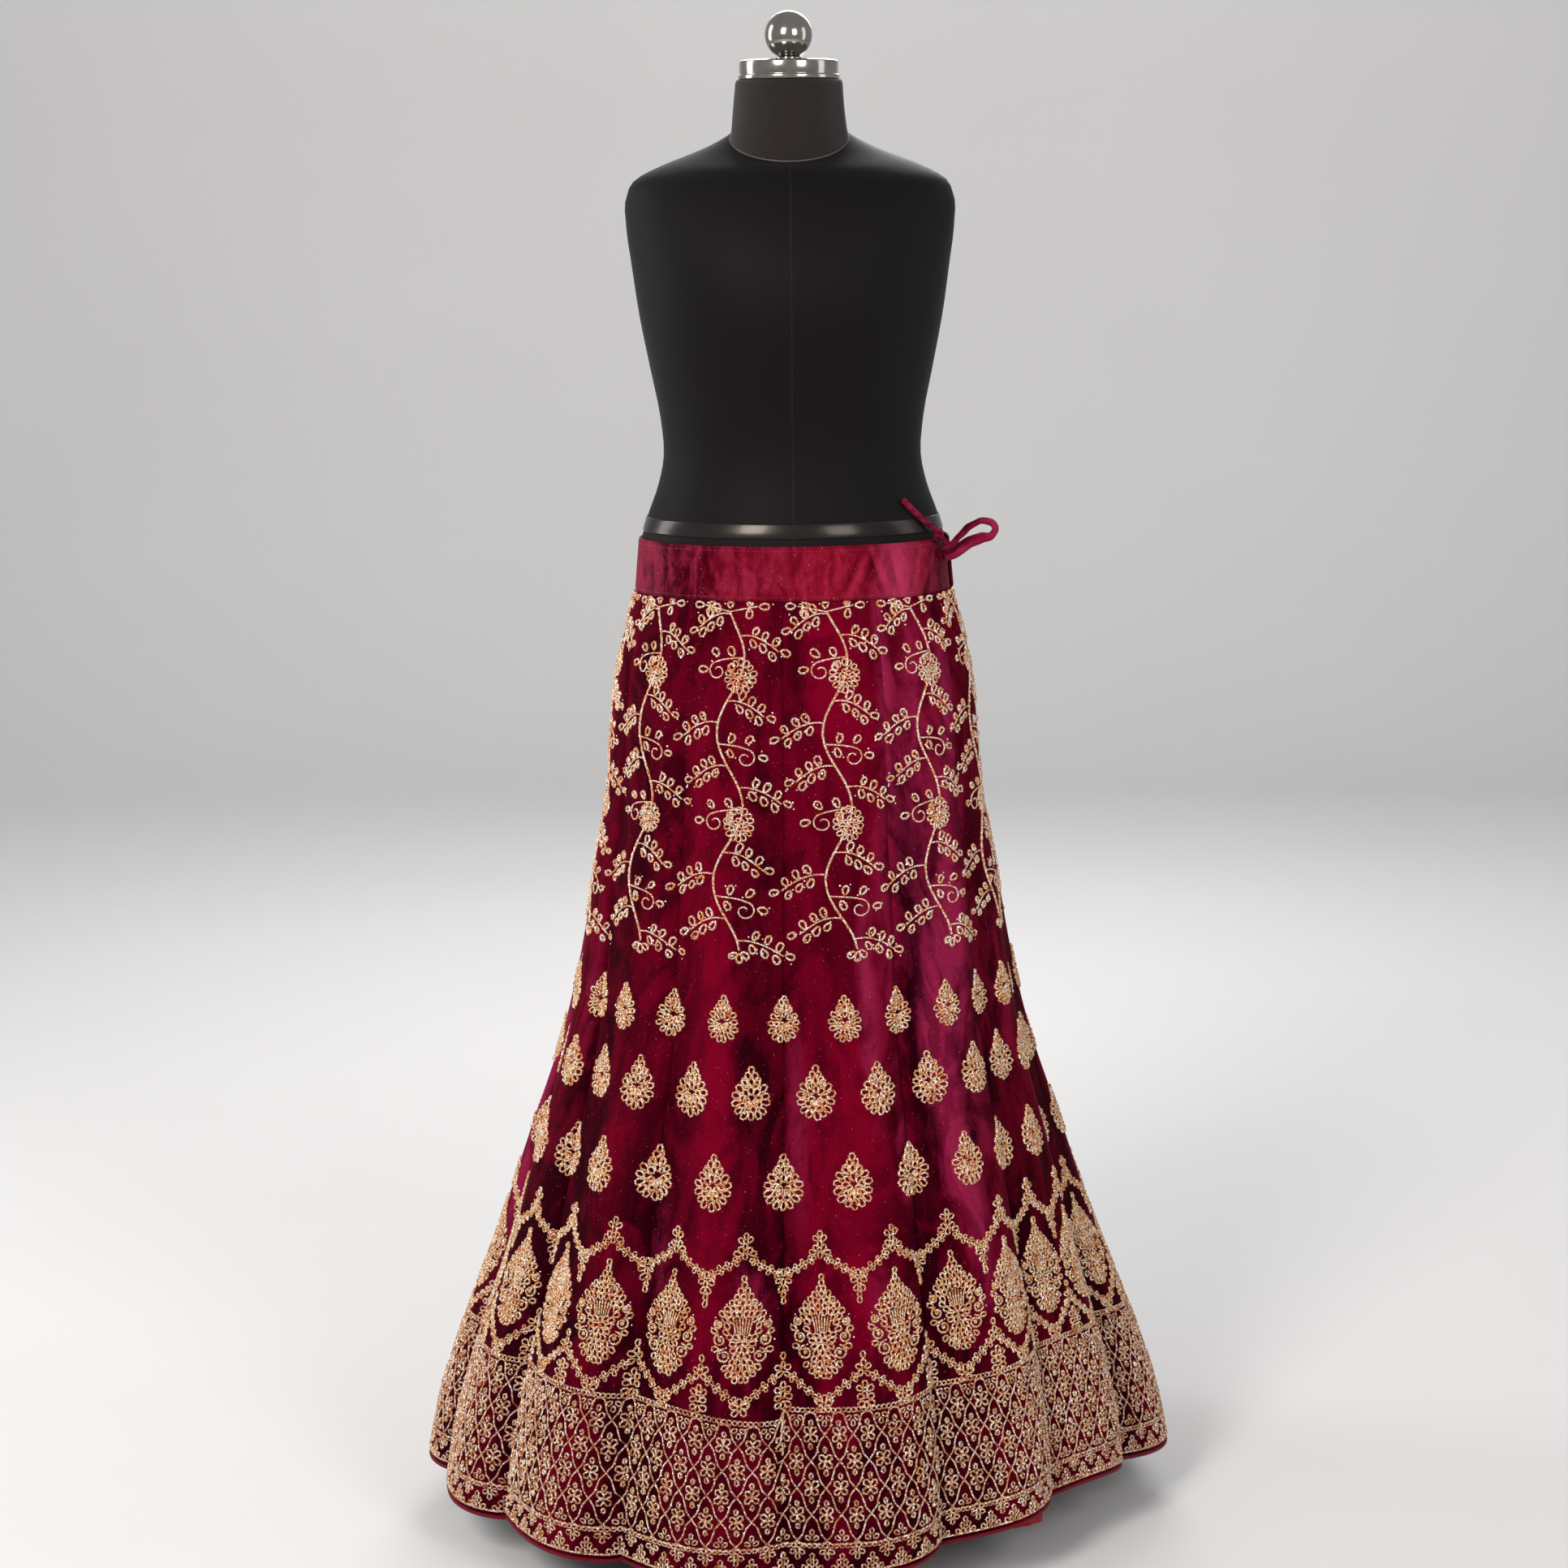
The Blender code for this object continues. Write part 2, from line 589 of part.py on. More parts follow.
def build_cap_and_ball(material):
    edge = CAP_EDGE
    bottom = NECK_TOP + SEAM_GAP
    turned_solid("form_cap", (
        (CAP_RADIUS - edge, bottom),
        (CAP_RADIUS, bottom + edge),
        (CAP_RADIUS, CAP_TOP - edge),
        (CAP_RADIUS - edge, CAP_TOP),
    ), material)
    foot = CAP_TOP + SEAM_GAP
    profile = [
        (BALL_FOOT_RADIUS, foot),
        (BALL_FOOT_RADIUS, foot + 0.0012),
        (BALL_STEM_RADIUS, foot + 0.0026),
    ]
    start = math.asin(BALL_STEM_RADIUS / BALL_RADIUS)
    crown = math.pi - 0.12
    for polar in np.linspace(start, crown, 11):
        profile.append((BALL_RADIUS * math.sin(polar), BALL_CENTRE - BALL_RADIUS * math.cos(polar)))
    turned_solid("form_ball", profile, material, columns=24)


def build_stand(material):
    edge = BASE_EDGE
    turned_solid("stand_base", (
        (BASE_RADIUS - edge, 0.0),
        (BASE_RADIUS, edge),
        (BASE_RADIUS, BASE_HEIGHT - edge),
        (BASE_RADIUS - edge, BASE_HEIGHT),
    ), material, columns=48)
    turned_solid("stand_collar", (
        (COLLAR_RADIUS, BASE_HEIGHT + SEAM_GAP),
        (COLLAR_RADIUS, COLLAR_TOP - 0.008),
        (COLLAR_RADIUS - 0.008, COLLAR_TOP),
    ), material, columns=24)
    turned_solid("stand_pole", (
        (POLE_RADIUS, COLLAR_TOP + SEAM_GAP),
        (POLE_RADIUS, TORSO_BOTTOM - SEAM_GAP),
    ), material, columns=24)


def main():
    clear_scene()
    velvet = finish("velvet", (0.110, 0.004, 0.026), 0.75)
    satin = finish("satin", (0.330, 0.006, 0.050), 0.35)
    piping = finish("piping", (0.150, 0.006, 0.020), 0.45)
    lining = finish("lining", (0.420, 0.006, 0.015), 0.40)
    tie = finish("tie", (0.240, 0.006, 0.040), 0.45)
    form_cloth = finish("form_cloth", (0.006, 0.006, 0.007), 0.70)
    neck_cloth = finish("neck_cloth", (0.022, 0.015, 0.014), 0.80)
    tape = finish("waist_tape", (0.012, 0.012, 0.013), 0.18)
    chrome = finish("chrome", (0.62, 0.60, 0.58), 0.06, 1.0)
    for number in range(PANELS):
        build_kali(number, velvet)
    build_waistband(satin)
    build_underlap(satin)
    build_piping(piping)
    build_lining_corner(lining)
    build_hanger_loop(tie)
    build_ties(tie)
    build_knot(tie)
    build_torso(form_cloth)
    build_waist_tape(tape)
    build_neck(neck_cloth)
    build_cap_and_ball(chrome)
    build_stand(chrome)


main()
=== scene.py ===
# %% [markdown]
# # A velvet lehenga skirt on its dress form
# A lehenga is a flared skirt of many panels, which its makers call kalis, set into a satin
# waistband and tied at the side. This one is velvet with raised metal-thread work: vines below
# the waist, small buttas, a row of ogees between two garlands, and a netted border at the hem.
# Everything is built in metres on the frame of its construction, so a piece goes where the frame says. The
# cloth could be simulated, but a fluted, lined skirt keeps the form its cut gives it, so the surfaces here
# are worked out from the cut and then creased.

# %% Load the frame
import math
from collections import namedtuple

import bpy
import numpy as np
from mathutils import Matrix, Vector


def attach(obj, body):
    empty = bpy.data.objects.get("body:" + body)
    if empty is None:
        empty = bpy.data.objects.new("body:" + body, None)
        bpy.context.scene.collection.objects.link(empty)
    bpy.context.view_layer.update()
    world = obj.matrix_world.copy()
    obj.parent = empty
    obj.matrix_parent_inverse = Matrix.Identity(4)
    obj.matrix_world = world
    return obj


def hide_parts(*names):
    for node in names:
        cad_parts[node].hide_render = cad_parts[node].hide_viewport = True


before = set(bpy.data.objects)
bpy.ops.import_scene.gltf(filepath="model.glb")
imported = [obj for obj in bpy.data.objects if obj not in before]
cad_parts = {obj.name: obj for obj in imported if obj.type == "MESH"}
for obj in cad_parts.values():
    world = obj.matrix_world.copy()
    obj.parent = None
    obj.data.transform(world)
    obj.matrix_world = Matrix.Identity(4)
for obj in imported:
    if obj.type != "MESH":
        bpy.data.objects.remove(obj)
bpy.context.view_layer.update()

# %% [markdown]
# ## Camera
# The camera stands at chest height, almost four metres in front, and looks slightly down. A long
# lens keeps the flared hem from ballooning towards the viewer, and half a degree of tip keeps the
# stand's pole upright in the frame.

# %% Camera
IMAGE_SIDE = 1932  # pixels
FOCAL_PIXELS = 4440
SENSOR = 36.0
CAMERA_PLACE = (-0.0117, -3.70, 1.40)
CAMERA_DOWN = math.radians(9.6)
CAMERA_TIP = math.radians(-0.55)

eye = bpy.data.cameras.new("eye")
eye.sensor_width = SENSOR
eye.lens = SENSOR * FOCAL_PIXELS / IMAGE_SIDE
eye_object = bpy.data.objects.new("eye", eye)
bpy.context.collection.objects.link(eye_object)
tilt = Matrix.Rotation(math.pi / 2 - CAMERA_DOWN, 4, "X") @ Matrix.Rotation(CAMERA_TIP, 4, "Z")
eye_object.matrix_world = Matrix.Translation(CAMERA_PLACE) @ tilt
bpy.context.scene.camera = eye_object
print("lens:", round(eye.lens, 2), "mm")

# %% [markdown]
# ## Light and room
# Velvet shows its pile only when light grazes it, and satin and chrome only show what they
# reflect. Two large soft panels in front, one on each side, give the chrome its pair of bright
# windows, and two long ones at the sides put a sheen along the folds. A fifth lights the back, and
# a wide one washes the wall, which with the floor is one pale sweep without a corner.

# %% Light and room
Panel = namedtuple("Panel", "name place aim width height power colour")
PANELS_OF_LIGHT = (
    Panel("key", (-1.5, -3.2, 2.6), (0.0, 0.0, 0.9), 1.0, 1.5, 121.0, (1.0, 0.97, 0.93)),
    Panel("fill", (1.7, -3.0, 2.2), (0.0, 0.0, 0.8), 1.1, 1.5, 41.0, (1.0, 0.98, 0.96)),
    Panel("edge_left", (-2.6, 0.6, 1.8), (0.0, 0.0, 0.8), 0.8, 2.2, 36.0, (1.0, 1.0, 1.0)),
    Panel("edge_right", (2.7, -0.4, 1.6), (0.0, 0.0, 0.7), 0.8, 2.2, 9.0, (1.0, 0.97, 1.0)),
    Panel("back", (0.3, 3.0, 2.6), (0.0, 0.0, 0.8), 1.6, 1.4, 52.0, (1.0, 1.0, 1.0)),
    Panel("wash", (0.0, 2.8, 3.8), (0.0, 6.0, 1.5), 5.0, 1.2, 55.0, (1.0, 1.0, 1.0)),
)


def light_panel(panel):
    """An area light at its place, turned so that it faces what it is aimed at."""
    lamp = bpy.data.lights.new(panel.name, "AREA")
    lamp.shape = "RECTANGLE"
    lamp.size = panel.width
    lamp.size_y = panel.height
    lamp.energy = panel.power
    lamp.color = panel.colour
    holder = bpy.data.objects.new(panel.name, lamp)
    holder.location = panel.place
    holder.rotation_euler = (Vector(panel.aim) - holder.location).to_track_quat("-Z", "Y").to_euler()
    bpy.context.collection.objects.link(holder)


for panel in PANELS_OF_LIGHT:
    light_panel(panel)

world = bpy.data.worlds.new("studio")
world.use_nodes = True
surroundings = world.node_tree.nodes["Background"].inputs
surroundings["Color"].default_value = (0.80, 0.80, 0.82, 1.0)
surroundings["Strength"].default_value = 0.46
bpy.context.scene.world = world
bpy.context.scene.view_settings.view_transform = "Standard"
print("light panels:", len(PANELS_OF_LIGHT))

# %% [markdown]
# ## A small language for finishes
# A finish is a tree of nodes. Written out socket by socket, the sums inside it are hard to read,
# so one small class wraps a socket and turns +, -, *, / and ** into Math nodes. Everything else
# comes from one method that takes a node's type, its settings and its inputs.

# %% Finishes as expressions
class Wire:
    """A socket of values whose arithmetic adds Math nodes to its finish."""

    def __init__(self, finish, socket):
        self.finish = finish
        self.socket = socket

    def sum_of(self, operation, *values, **settings):
        return self.finish.node("ShaderNodeMath", {"operation": operation, **settings}, *values)

    def __add__(self, other):
        return self.sum_of("ADD", self, other)

    __radd__ = __add__

    def __sub__(self, other):
        return self.sum_of("SUBTRACT", self, other)

    def __rsub__(self, other):
        return self.sum_of("SUBTRACT", other, self)

    def __mul__(self, other):
        return self.sum_of("MULTIPLY", self, other)

    __rmul__ = __mul__

    def __truediv__(self, other):
        return self.sum_of("DIVIDE", self, other)

    def __rtruediv__(self, other):
        return self.sum_of("DIVIDE", other, self)

    def __pow__(self, other):
        return self.sum_of("POWER", self, other)

    def clamped(self):
        return self.sum_of("ADD", self, 0.0, use_clamp=True)


class Finish:
    """A material and its shader, with one method for every kind of node."""

    def __init__(self, name, **constants):
        self.material = bpy.data.materials.new(name)
        self.material.use_nodes = True
        self.tree = self.material.node_tree
        self.shader = self.tree.nodes["Principled BSDF"]
        for socket, value in constants.items():
            self.shader.inputs[socket.replace("_", " ")].default_value = value

    def node(self, kind, settings, *inputs, out=0, **named):
        """A node of this kind: its settings first, then its inputs by place or by name."""
        made = self.tree.nodes.new(kind)
        for setting, value in settings.items():
            setattr(made, setting, value)
        given = list(enumerate(inputs)) + [(key.replace("_", " "), value) for key, value in named.items()]
        for key, value in given:
            if isinstance(value, Wire):
                self.tree.links.new(value.socket, made.inputs[key])
            elif value is not None:
                made.inputs[key].default_value = value
        return Wire(self, made.outputs[out])

    def place(self):
        return self.node("ShaderNodeTexCoord", {}, out="Object")

    def lie(self, name):
        """The piece's own UV map, in metres of cloth or cord."""
        return self.node("ShaderNodeUVMap", {"uv_map": name})

    def painted(self, name):
        """A value kept on the piece's own points."""
        return self.node("ShaderNodeAttribute", {"attribute_name": name}, out="Fac")

    def stretched(self, vector, x, y, z=1.0):
        scale = self.node("ShaderNodeCombineXYZ", {}, x, y, z)
        return self.node("ShaderNodeVectorMath", {"operation": "MULTIPLY"}, vector, scale)

    def noise(self, vector, scale, detail=2.0, roughness=0.5, distortion=0.0):
        return self.node("ShaderNodeTexNoise", {}, Vector=vector, Scale=scale, Detail=detail,
                         Roughness=roughness, Distortion=distortion)

    def between(self, value, low, high):
        """0 below low and 1 above high, evenly between."""
        return ((value - low) / (high - low)).clamped()

    def blend(self, share, first, second):
        """A colour between two, by a share."""
        made = self.tree.nodes.new("ShaderNodeMix")
        made.data_type = "RGBA"
        for place, value in ((0, share), (6, first), (7, second)):
            if isinstance(value, Wire):
                self.tree.links.new(value.socket, made.inputs[place])
            else:
                made.inputs[place].default_value = value if place == 0 else (*value, 1.0)
        return Wire(self, made.outputs[2])

    def bump(self, height, distance, strength=1.0):
        return self.node("ShaderNodeBump", {}, Height=height, Distance=distance, Strength=strength)

    def feed(self, **sockets):
        """Links what varies over the surface to the shader."""
        for socket, value in sockets.items():
            self.tree.links.new(value.socket, self.shader.inputs[socket.replace("_", " ")])
        return self.material


print("finish sockets:", len(Finish("trial").shader.inputs))
bpy.data.materials.remove(bpy.data.materials["trial"])

# %% [markdown]
# ## Pieces from arrays
# A mesh of many thousand points is slow to build one vertex at a time. Here each piece is whole
# arrays: a grid of points, and faces found by counting along its rows. A wall is two grids, an
# outer and an inner one, joined round the rim, so that it is closed and has a real thickness.

# %% Pieces from arrays
pieces_made = []


def grid_faces(rows, columns, round_rows=False, round_columns=False, offset=0):
    """Four corners for each cell: corner (r, c) is point r * columns + c, wrapping where it is round."""
    r = np.arange(rows if round_rows else rows - 1)[:, None]
    c = np.arange(columns if round_columns else columns - 1)[None, :]
    below = (r + 1) % rows
    beside = (c + 1) % columns
    corners = np.broadcast_arrays(r * columns + c, below * columns + c,
                                  below * columns + beside, r * columns + beside)
    return np.stack(corners, axis=-1).reshape(-1, 4) + offset


def add_piece(name, points, quads, finish, slot, triangles=None, smooth=True, corner_uv=None, values=None):
    """One mesh object from arrays, riding on the garment, with its finish and its own attributes."""
    points = np.ascontiguousarray(np.asarray(points, np.float32).reshape(-1, 3))
    quads = np.asarray(quads, np.int32).reshape(-1, 4)
    triangles = np.zeros((0, 3), np.int32) if triangles is None else np.asarray(triangles, np.int32)
    corners = np.concatenate([quads.ravel(), triangles.ravel()]).astype(np.int32)
    starts = np.concatenate([np.arange(len(quads)) * 4, len(quads) * 4 + np.arange(len(triangles)) * 3])
    mesh = bpy.data.meshes.new(name)
    mesh.vertices.add(len(points))
    mesh.vertices.foreach_set("co", points.ravel())
    mesh.loops.add(len(corners))
    mesh.loops.foreach_set("vertex_index", corners)
    mesh.polygons.add(len(starts))
    mesh.polygons.foreach_set("loop_start", starts.astype(np.int32))
    mesh.update(calc_edges=True)
    mesh.polygons.foreach_set("use_smooth", np.full(len(starts), smooth))
    if corner_uv is not None:
        layer = mesh.uv_layers.new(name="lie")
        layer.data.foreach_set("uv", np.ascontiguousarray(corner_uv, np.float32).ravel())
    for key, value in (values or {}).items():
        attribute = mesh.attributes.new(key, "FLOAT", "POINT")
        attribute.data.foreach_set("value", np.ascontiguousarray(value, np.float32).ravel())
    mesh.materials.append(finish)
    piece = bpy.data.objects.new(name, mesh)
    bpy.context.collection.objects.link(piece)
    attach(piece, "root")
    pieces_made.append((name, len(quads) * 2 + len(triangles)))
    return piece


def wall(outer, inner, uv=None):
    """Points, faces and corner UVs of a closed wall: the outer grid, the inner one turned over, the rim."""
    rows, columns = outer.shape[:2]
    count = rows * columns
    points = np.concatenate([outer.reshape(-1, 3), inner.reshape(-1, 3)])
    number = np.arange(count).reshape(rows, columns)
    rim = np.concatenate([number[0, :-1], number[:-1, -1], number[-1, :0:-1], number[:0:-1, 0]])
    after = np.roll(rim, -1)
    edge = np.stack([rim, after, after + count, rim + count], axis=-1)
    outside = grid_faces(rows, columns)
    quads = np.concatenate([outside, outside[:, ::-1] + count, edge])
    if uv is None:
        return points, quads, None
    both = np.concatenate([uv.reshape(-1, 2), uv.reshape(-1, 2)])
    return points, quads, both[quads]


def sweep(path, width_axis, profile):
    """A tube: at each point of the path, a ring of (across, up) offsets square to the way ahead.

    Across is the width axis less its part along the path; up is ahead x across.
    """
    path = np.asarray(path, float)
    ahead = np.gradient(path, axis=0)
    ahead /= np.linalg.norm(ahead, axis=-1, keepdims=True)
    axis = np.broadcast_to(np.asarray(width_axis, float), path.shape)
    across = axis - ahead * (ahead * axis).sum(-1, keepdims=True)
    across /= np.linalg.norm(across, axis=-1, keepdims=True)
    up = np.cross(ahead, across)
    profile = np.broadcast_to(profile, (len(path), *np.shape(profile)[-2:]))
    return path[:, None] + profile[..., :1] * across[:, None] + profile[..., 1:] * up[:, None]


def add_tube(name, rings, finish, slot, length=None, closed=False, **more):
    """A closed body from a stack of rings; its ends are drawn together to a point unless it is a loop."""
    rows, columns = rings.shape[:2]
    points = rings.reshape(-1, 3)
    quads = grid_faces(rows, columns, round_rows=closed, round_columns=True)[:, ::-1]
    triangles = None
    if not closed:
        tips = np.stack([rings[0].mean(0), rings[-1].mean(0)])
        points = np.concatenate([points, tips])
        c = np.arange(columns)
        d = (c + 1) % columns
        start = np.stack([np.full(columns, rows * columns), d, c], axis=-1)
        last = (rows - 1) * columns
        end = np.stack([np.full(columns, rows * columns + 1), last + c, last + d], axis=-1)
        triangles = np.concatenate([start, end])
    return add_piece(name, points, quads, finish, slot, triangles=triangles, **more)


def tube_uv(along, around, tips=None):
    """Corner UVs for the quads of a tube in add_tube's order, then one place for all corners of its tips."""
    rows, columns = len(along) - 1, len(around) - 1
    r = np.repeat(np.arange(rows), columns)
    c = np.tile(np.arange(columns), rows)
    corners = [np.stack([along[r + i], around[c + j]], axis=-1) for i, j in ((0, 1), (1, 1), (1, 0), (0, 0))]
    uv = np.stack(corners, axis=1).reshape(-1, 2)
    return uv if tips is None else np.concatenate([uv, np.full((columns * 6, 2), tips)])


def lengths(grid, axis):
    """Metres along every line of a grid of points that runs in this axis: the sum of its steps."""
    return np.linalg.norm(np.diff(grid, axis=axis), axis=-1).sum(axis=axis)


def travelled(points):
    """How far along a row of points each one lies: 0 at the first, then the sum of the steps."""
    return np.concatenate([[0.0], np.cumsum(np.linalg.norm(np.diff(points, axis=0), axis=-1))])


def full_circle(columns):
    return 2 * math.pi * np.arange(columns) / columns


def flowing(x, known_x, known_y):
    """Cubic Hermite curve through the known points, with the slopes of its neighbours."""
    known_x = np.asarray(known_x, float)
    known_y = np.asarray(known_y, float)
    slope = np.gradient(known_y, known_x)
    x = np.clip(x, known_x[0], known_x[-1])
    i = np.clip(np.searchsorted(known_x, x, side="right") - 1, 0, len(known_x) - 2)
    span = known_x[i + 1] - known_x[i]
    t = (x - known_x[i]) / span
    rise = known_y[i] * (1 + 2 * t) * (1 - t) ** 2 + known_y[i + 1] * t * t * (3 - 2 * t)
    return rise + span * (slope[i] * t * (1 - t) ** 2 - slope[i + 1] * t * t * (1 - t))


def smooth_route(points, count):
    """Evenly spaced places on a smooth curve through the given ones: each coordinate flows with the way."""
    points = np.asarray(points, float)
    reach = travelled(points)
    fine = np.linspace(0.0, reach[-1], count)
    return np.stack([flowing(fine, reach, points[:, axis]) for axis in range(points.shape[1])], axis=-1)


def ease(t):
    """0 below 0 and 1 above 1, smoothly between: t * t * (3 - 2 * t)."""
    t = np.clip(t, 0.0, 1.0)
    return t * t * (3 - 2 * t)


print("a 3 by 4 grid has", len(grid_faces(3, 4)), "faces")

# %% [markdown]
# ## Floor and wall
# One sheet that lies flat under the garment and then sweeps up behind it. It is pale and slightly
# rough, and is no part of the object.

# %% Floor and wall
SWEEP_RADIUS = 1.6
FLOOR_FRONT = -6.0
SWEEP_START = 4.4
WALL_TOP = 6.0
ROOM_SIDE = 7.0

room_finish = Finish("room_finish", Roughness=0.85)
mottle = room_finish.noise(room_finish.place(), 1.3, 3.0)
room_finish.feed(Base_Color=room_finish.blend(mottle, (0.66, 0.655, 0.65), (0.70, 0.695, 0.69)))

arc = np.linspace(0, math.pi / 2, 24)
run = np.concatenate([[FLOOR_FRONT], SWEEP_START + SWEEP_RADIUS * np.sin(arc), [SWEEP_START + SWEEP_RADIUS]])
rise = np.concatenate([[0.0], SWEEP_RADIUS * (1 - np.cos(arc)), [WALL_TOP]])
side = np.array([-ROOM_SIDE, ROOM_SIDE])
room_points = np.stack(np.broadcast_arrays(side[None, :], run[:, None], rise[:, None]), axis=-1)
room_mesh = bpy.data.meshes.new("room")
room_faces = grid_faces(len(run), 2)[:, ::-1]
room_mesh.from_pydata(room_points.reshape(-1, 3).tolist(), [], room_faces.tolist())
room_mesh.shade_smooth()
room_mesh.materials.append(room_finish.material)
room = bpy.data.objects.new("room", room_mesh)
bpy.context.collection.objects.link(room)
print("room faces:", len(room_faces))

# %% [markdown]
# ## The cloth's own coordinates
# A place on the skirt is a turn, which counts kalis round it from the front centre seam, and a
# fall, from 0 at the waist seam to 1 at the hem. The skirt's sections, the kalis' own fullness
# and the folds that hang from the seams give the point. The zari work uses the same function as
# the velvet, so it can't float off it or sink into it.

# %% The skirt's form
KALIS_ROUND = 14
WAIST_SEAM = 0.979
BAND_TOP = 1.034
HEM = 0.0546
VELVET = 0.0018  # pile, ground and lining together
FRONT_SEAM = math.radians(-3.0)
WAIST_SPREAD = 0.32
FOLD_LEAN = 1.5
FOLD_POWER = 0.7
CLOTH_LENGTH = 0.957  # from the waist seam to the hem, along a crest
CLOTH_MM = CLOTH_LENGTH * 1000

Section = namedtuple("Section", "height half_width front back flute")
SKIRT_SECTIONS = (
    Section(0.054, 0.3965, 0.3770, 0.3800, 0.0230),
    Section(0.110, 0.3855, 0.3650, 0.3690, 0.0220),
    Section(0.190, 0.3595, 0.3390, 0.3440, 0.0200),
    Section(0.300, 0.3170, 0.2980, 0.3030, 0.0170),
    Section(0.405, 0.2830, 0.2640, 0.2690, 0.0140),
    Section(0.510, 0.2490, 0.2290, 0.2350, 0.0110),
    Section(0.590, 0.2305, 0.2090, 0.2160, 0.0090),
    Section(0.690, 0.2135, 0.1880, 0.1970, 0.0065),
    Section(0.770, 0.1985, 0.1700, 0.1800, 0.0045),
    Section(0.850, 0.1902, 0.1560, 0.1660, 0.0030),
    Section(0.900, 0.1840, 0.1460, 0.1540, 0.0020),
    Section(0.950, 0.1718, 0.1322, 0.1382, 0.0008),
    Section(0.979, 0.1634, 0.1248, 0.1288, 0.0003),
)
# Fullness scales a kali's reach at the hem, lift raises its hem, valley scales its seam's fold.
Kali = namedtuple("Kali", "fullness lift valley")
KALIS = (
    Kali(1.000, 0.002, 1.00),
    Kali(0.925, 0.016, 1.25),
    Kali(0.895, 0.022, 0.80),
    Kali(0.985, 0.004, 1.30),
    Kali(1.010, 0.002, 0.90),
    Kali(0.960, 0.008, 1.15),
    Kali(0.985, 0.004, 1.30),
    Kali(1.015, 0.000, 0.85),
    Kali(0.965, 0.007, 1.20),
    Kali(0.995, 0.003, 1.00),
    Kali(1.005, 0.001, 1.30),
    Kali(1.000, 0.002, 0.90),
    Kali(1.005, 0.000, 1.10),
    Kali(1.020, -0.003, 1.15),
)


def skirt_section(height, column):
    """One measure of the skirt's section at this height, flowing between the sections of the table."""
    return flowing(height, [s.height for s in SKIRT_SECTIONS], [getattr(s, column) for s in SKIRT_SECTIONS])


def round_the_skirt(turn, values):
    """Smooth periodic curve through one value at the middle of each kali."""
    near = np.arange(-2, KALIS_ROUND + 2)
    return flowing(np.mod(turn, KALIS_ROUND), near + 0.5, np.take(values, near, mode="wrap"))


def cloth_angle(turn, fall):
    """Angle round the form: even at the hem, while at the waist the front kalis are the wider ones."""
    even = 2 * math.pi * turn / KALIS_ROUND + FRONT_SEAM
    return even + WAIST_SPREAD * (1 - fall) * np.sin(even)


def fold_depth(turn, height):
    """Nothing at a crest and most at a seam: flute * valley * (1 - |sin(pi * across^lean)|^power)."""
    panel = np.floor(turn)
    across = turn - panel
    crest = np.abs(np.sin(math.pi * across**FOLD_LEAN)) ** FOLD_POWER
    valleys = np.array([kali.valley for kali in KALIS])
    left = valleys[np.mod(panel.astype(int), KALIS_ROUND)]
    right = valleys[np.mod(panel.astype(int) + 1, KALIS_ROUND)]
    return skirt_section(height, "flute") * (left + (right - left) * ease(across)) * (1 - crest)


def skirt_form(turn, fall, outward=0.0, folded=True):
    """The section's reach at this height, scaled by the kali's fullness, less the fold, plus outward."""
    turn, fall, outward = np.broadcast_arrays(*(np.asarray(v, float) for v in (turn, fall, outward)))
    lift = round_the_skirt(turn, [kali.lift for kali in KALIS])
    fullness = round_the_skirt(turn, [kali.fullness for kali in KALIS])
    height = WAIST_SEAM - (WAIST_SEAM - HEM) * fall + lift * np.sign(fall) * fall**2
    swell = 1 + (fullness - 1) * np.maximum(fall, 0) ** 1.5
    angle = cloth_angle(turn, fall)
    depth = np.where(np.cos(angle) > 0, skirt_section(height, "front"), skirt_section(height, "back"))
    out = outward - (fold_depth(turn, height) if folded else 0.0)
    x = (skirt_section(height, "half_width") * swell + out) * np.sin(angle)
    y = -(depth * swell + out) * np.cos(angle)
    return np.stack([x, y, height], axis=-1)


def kali_width(turn, fall):
    """Metres of cloth for one turn here, without the folds."""
    step = 0.02
    ahead = skirt_form(turn + step, fall, folded=False)
    behind = skirt_form(turn - step, fall, folded=False)
    return np.linalg.norm(ahead - behind, axis=-1) / (2 * step)


waist_widths = kali_width(np.arange(KALIS_ROUND) + 0.5, 0.0)
hem_widths = kali_width(np.arange(KALIS_ROUND) + 0.5, 1.0)
print("kali widths, mm: waist", np.round(waist_widths.min() * 1000), np.round(waist_widths.max() * 1000),
      "hem", np.round(hem_widths.min() * 1000), np.round(hem_widths.max() * 1000))
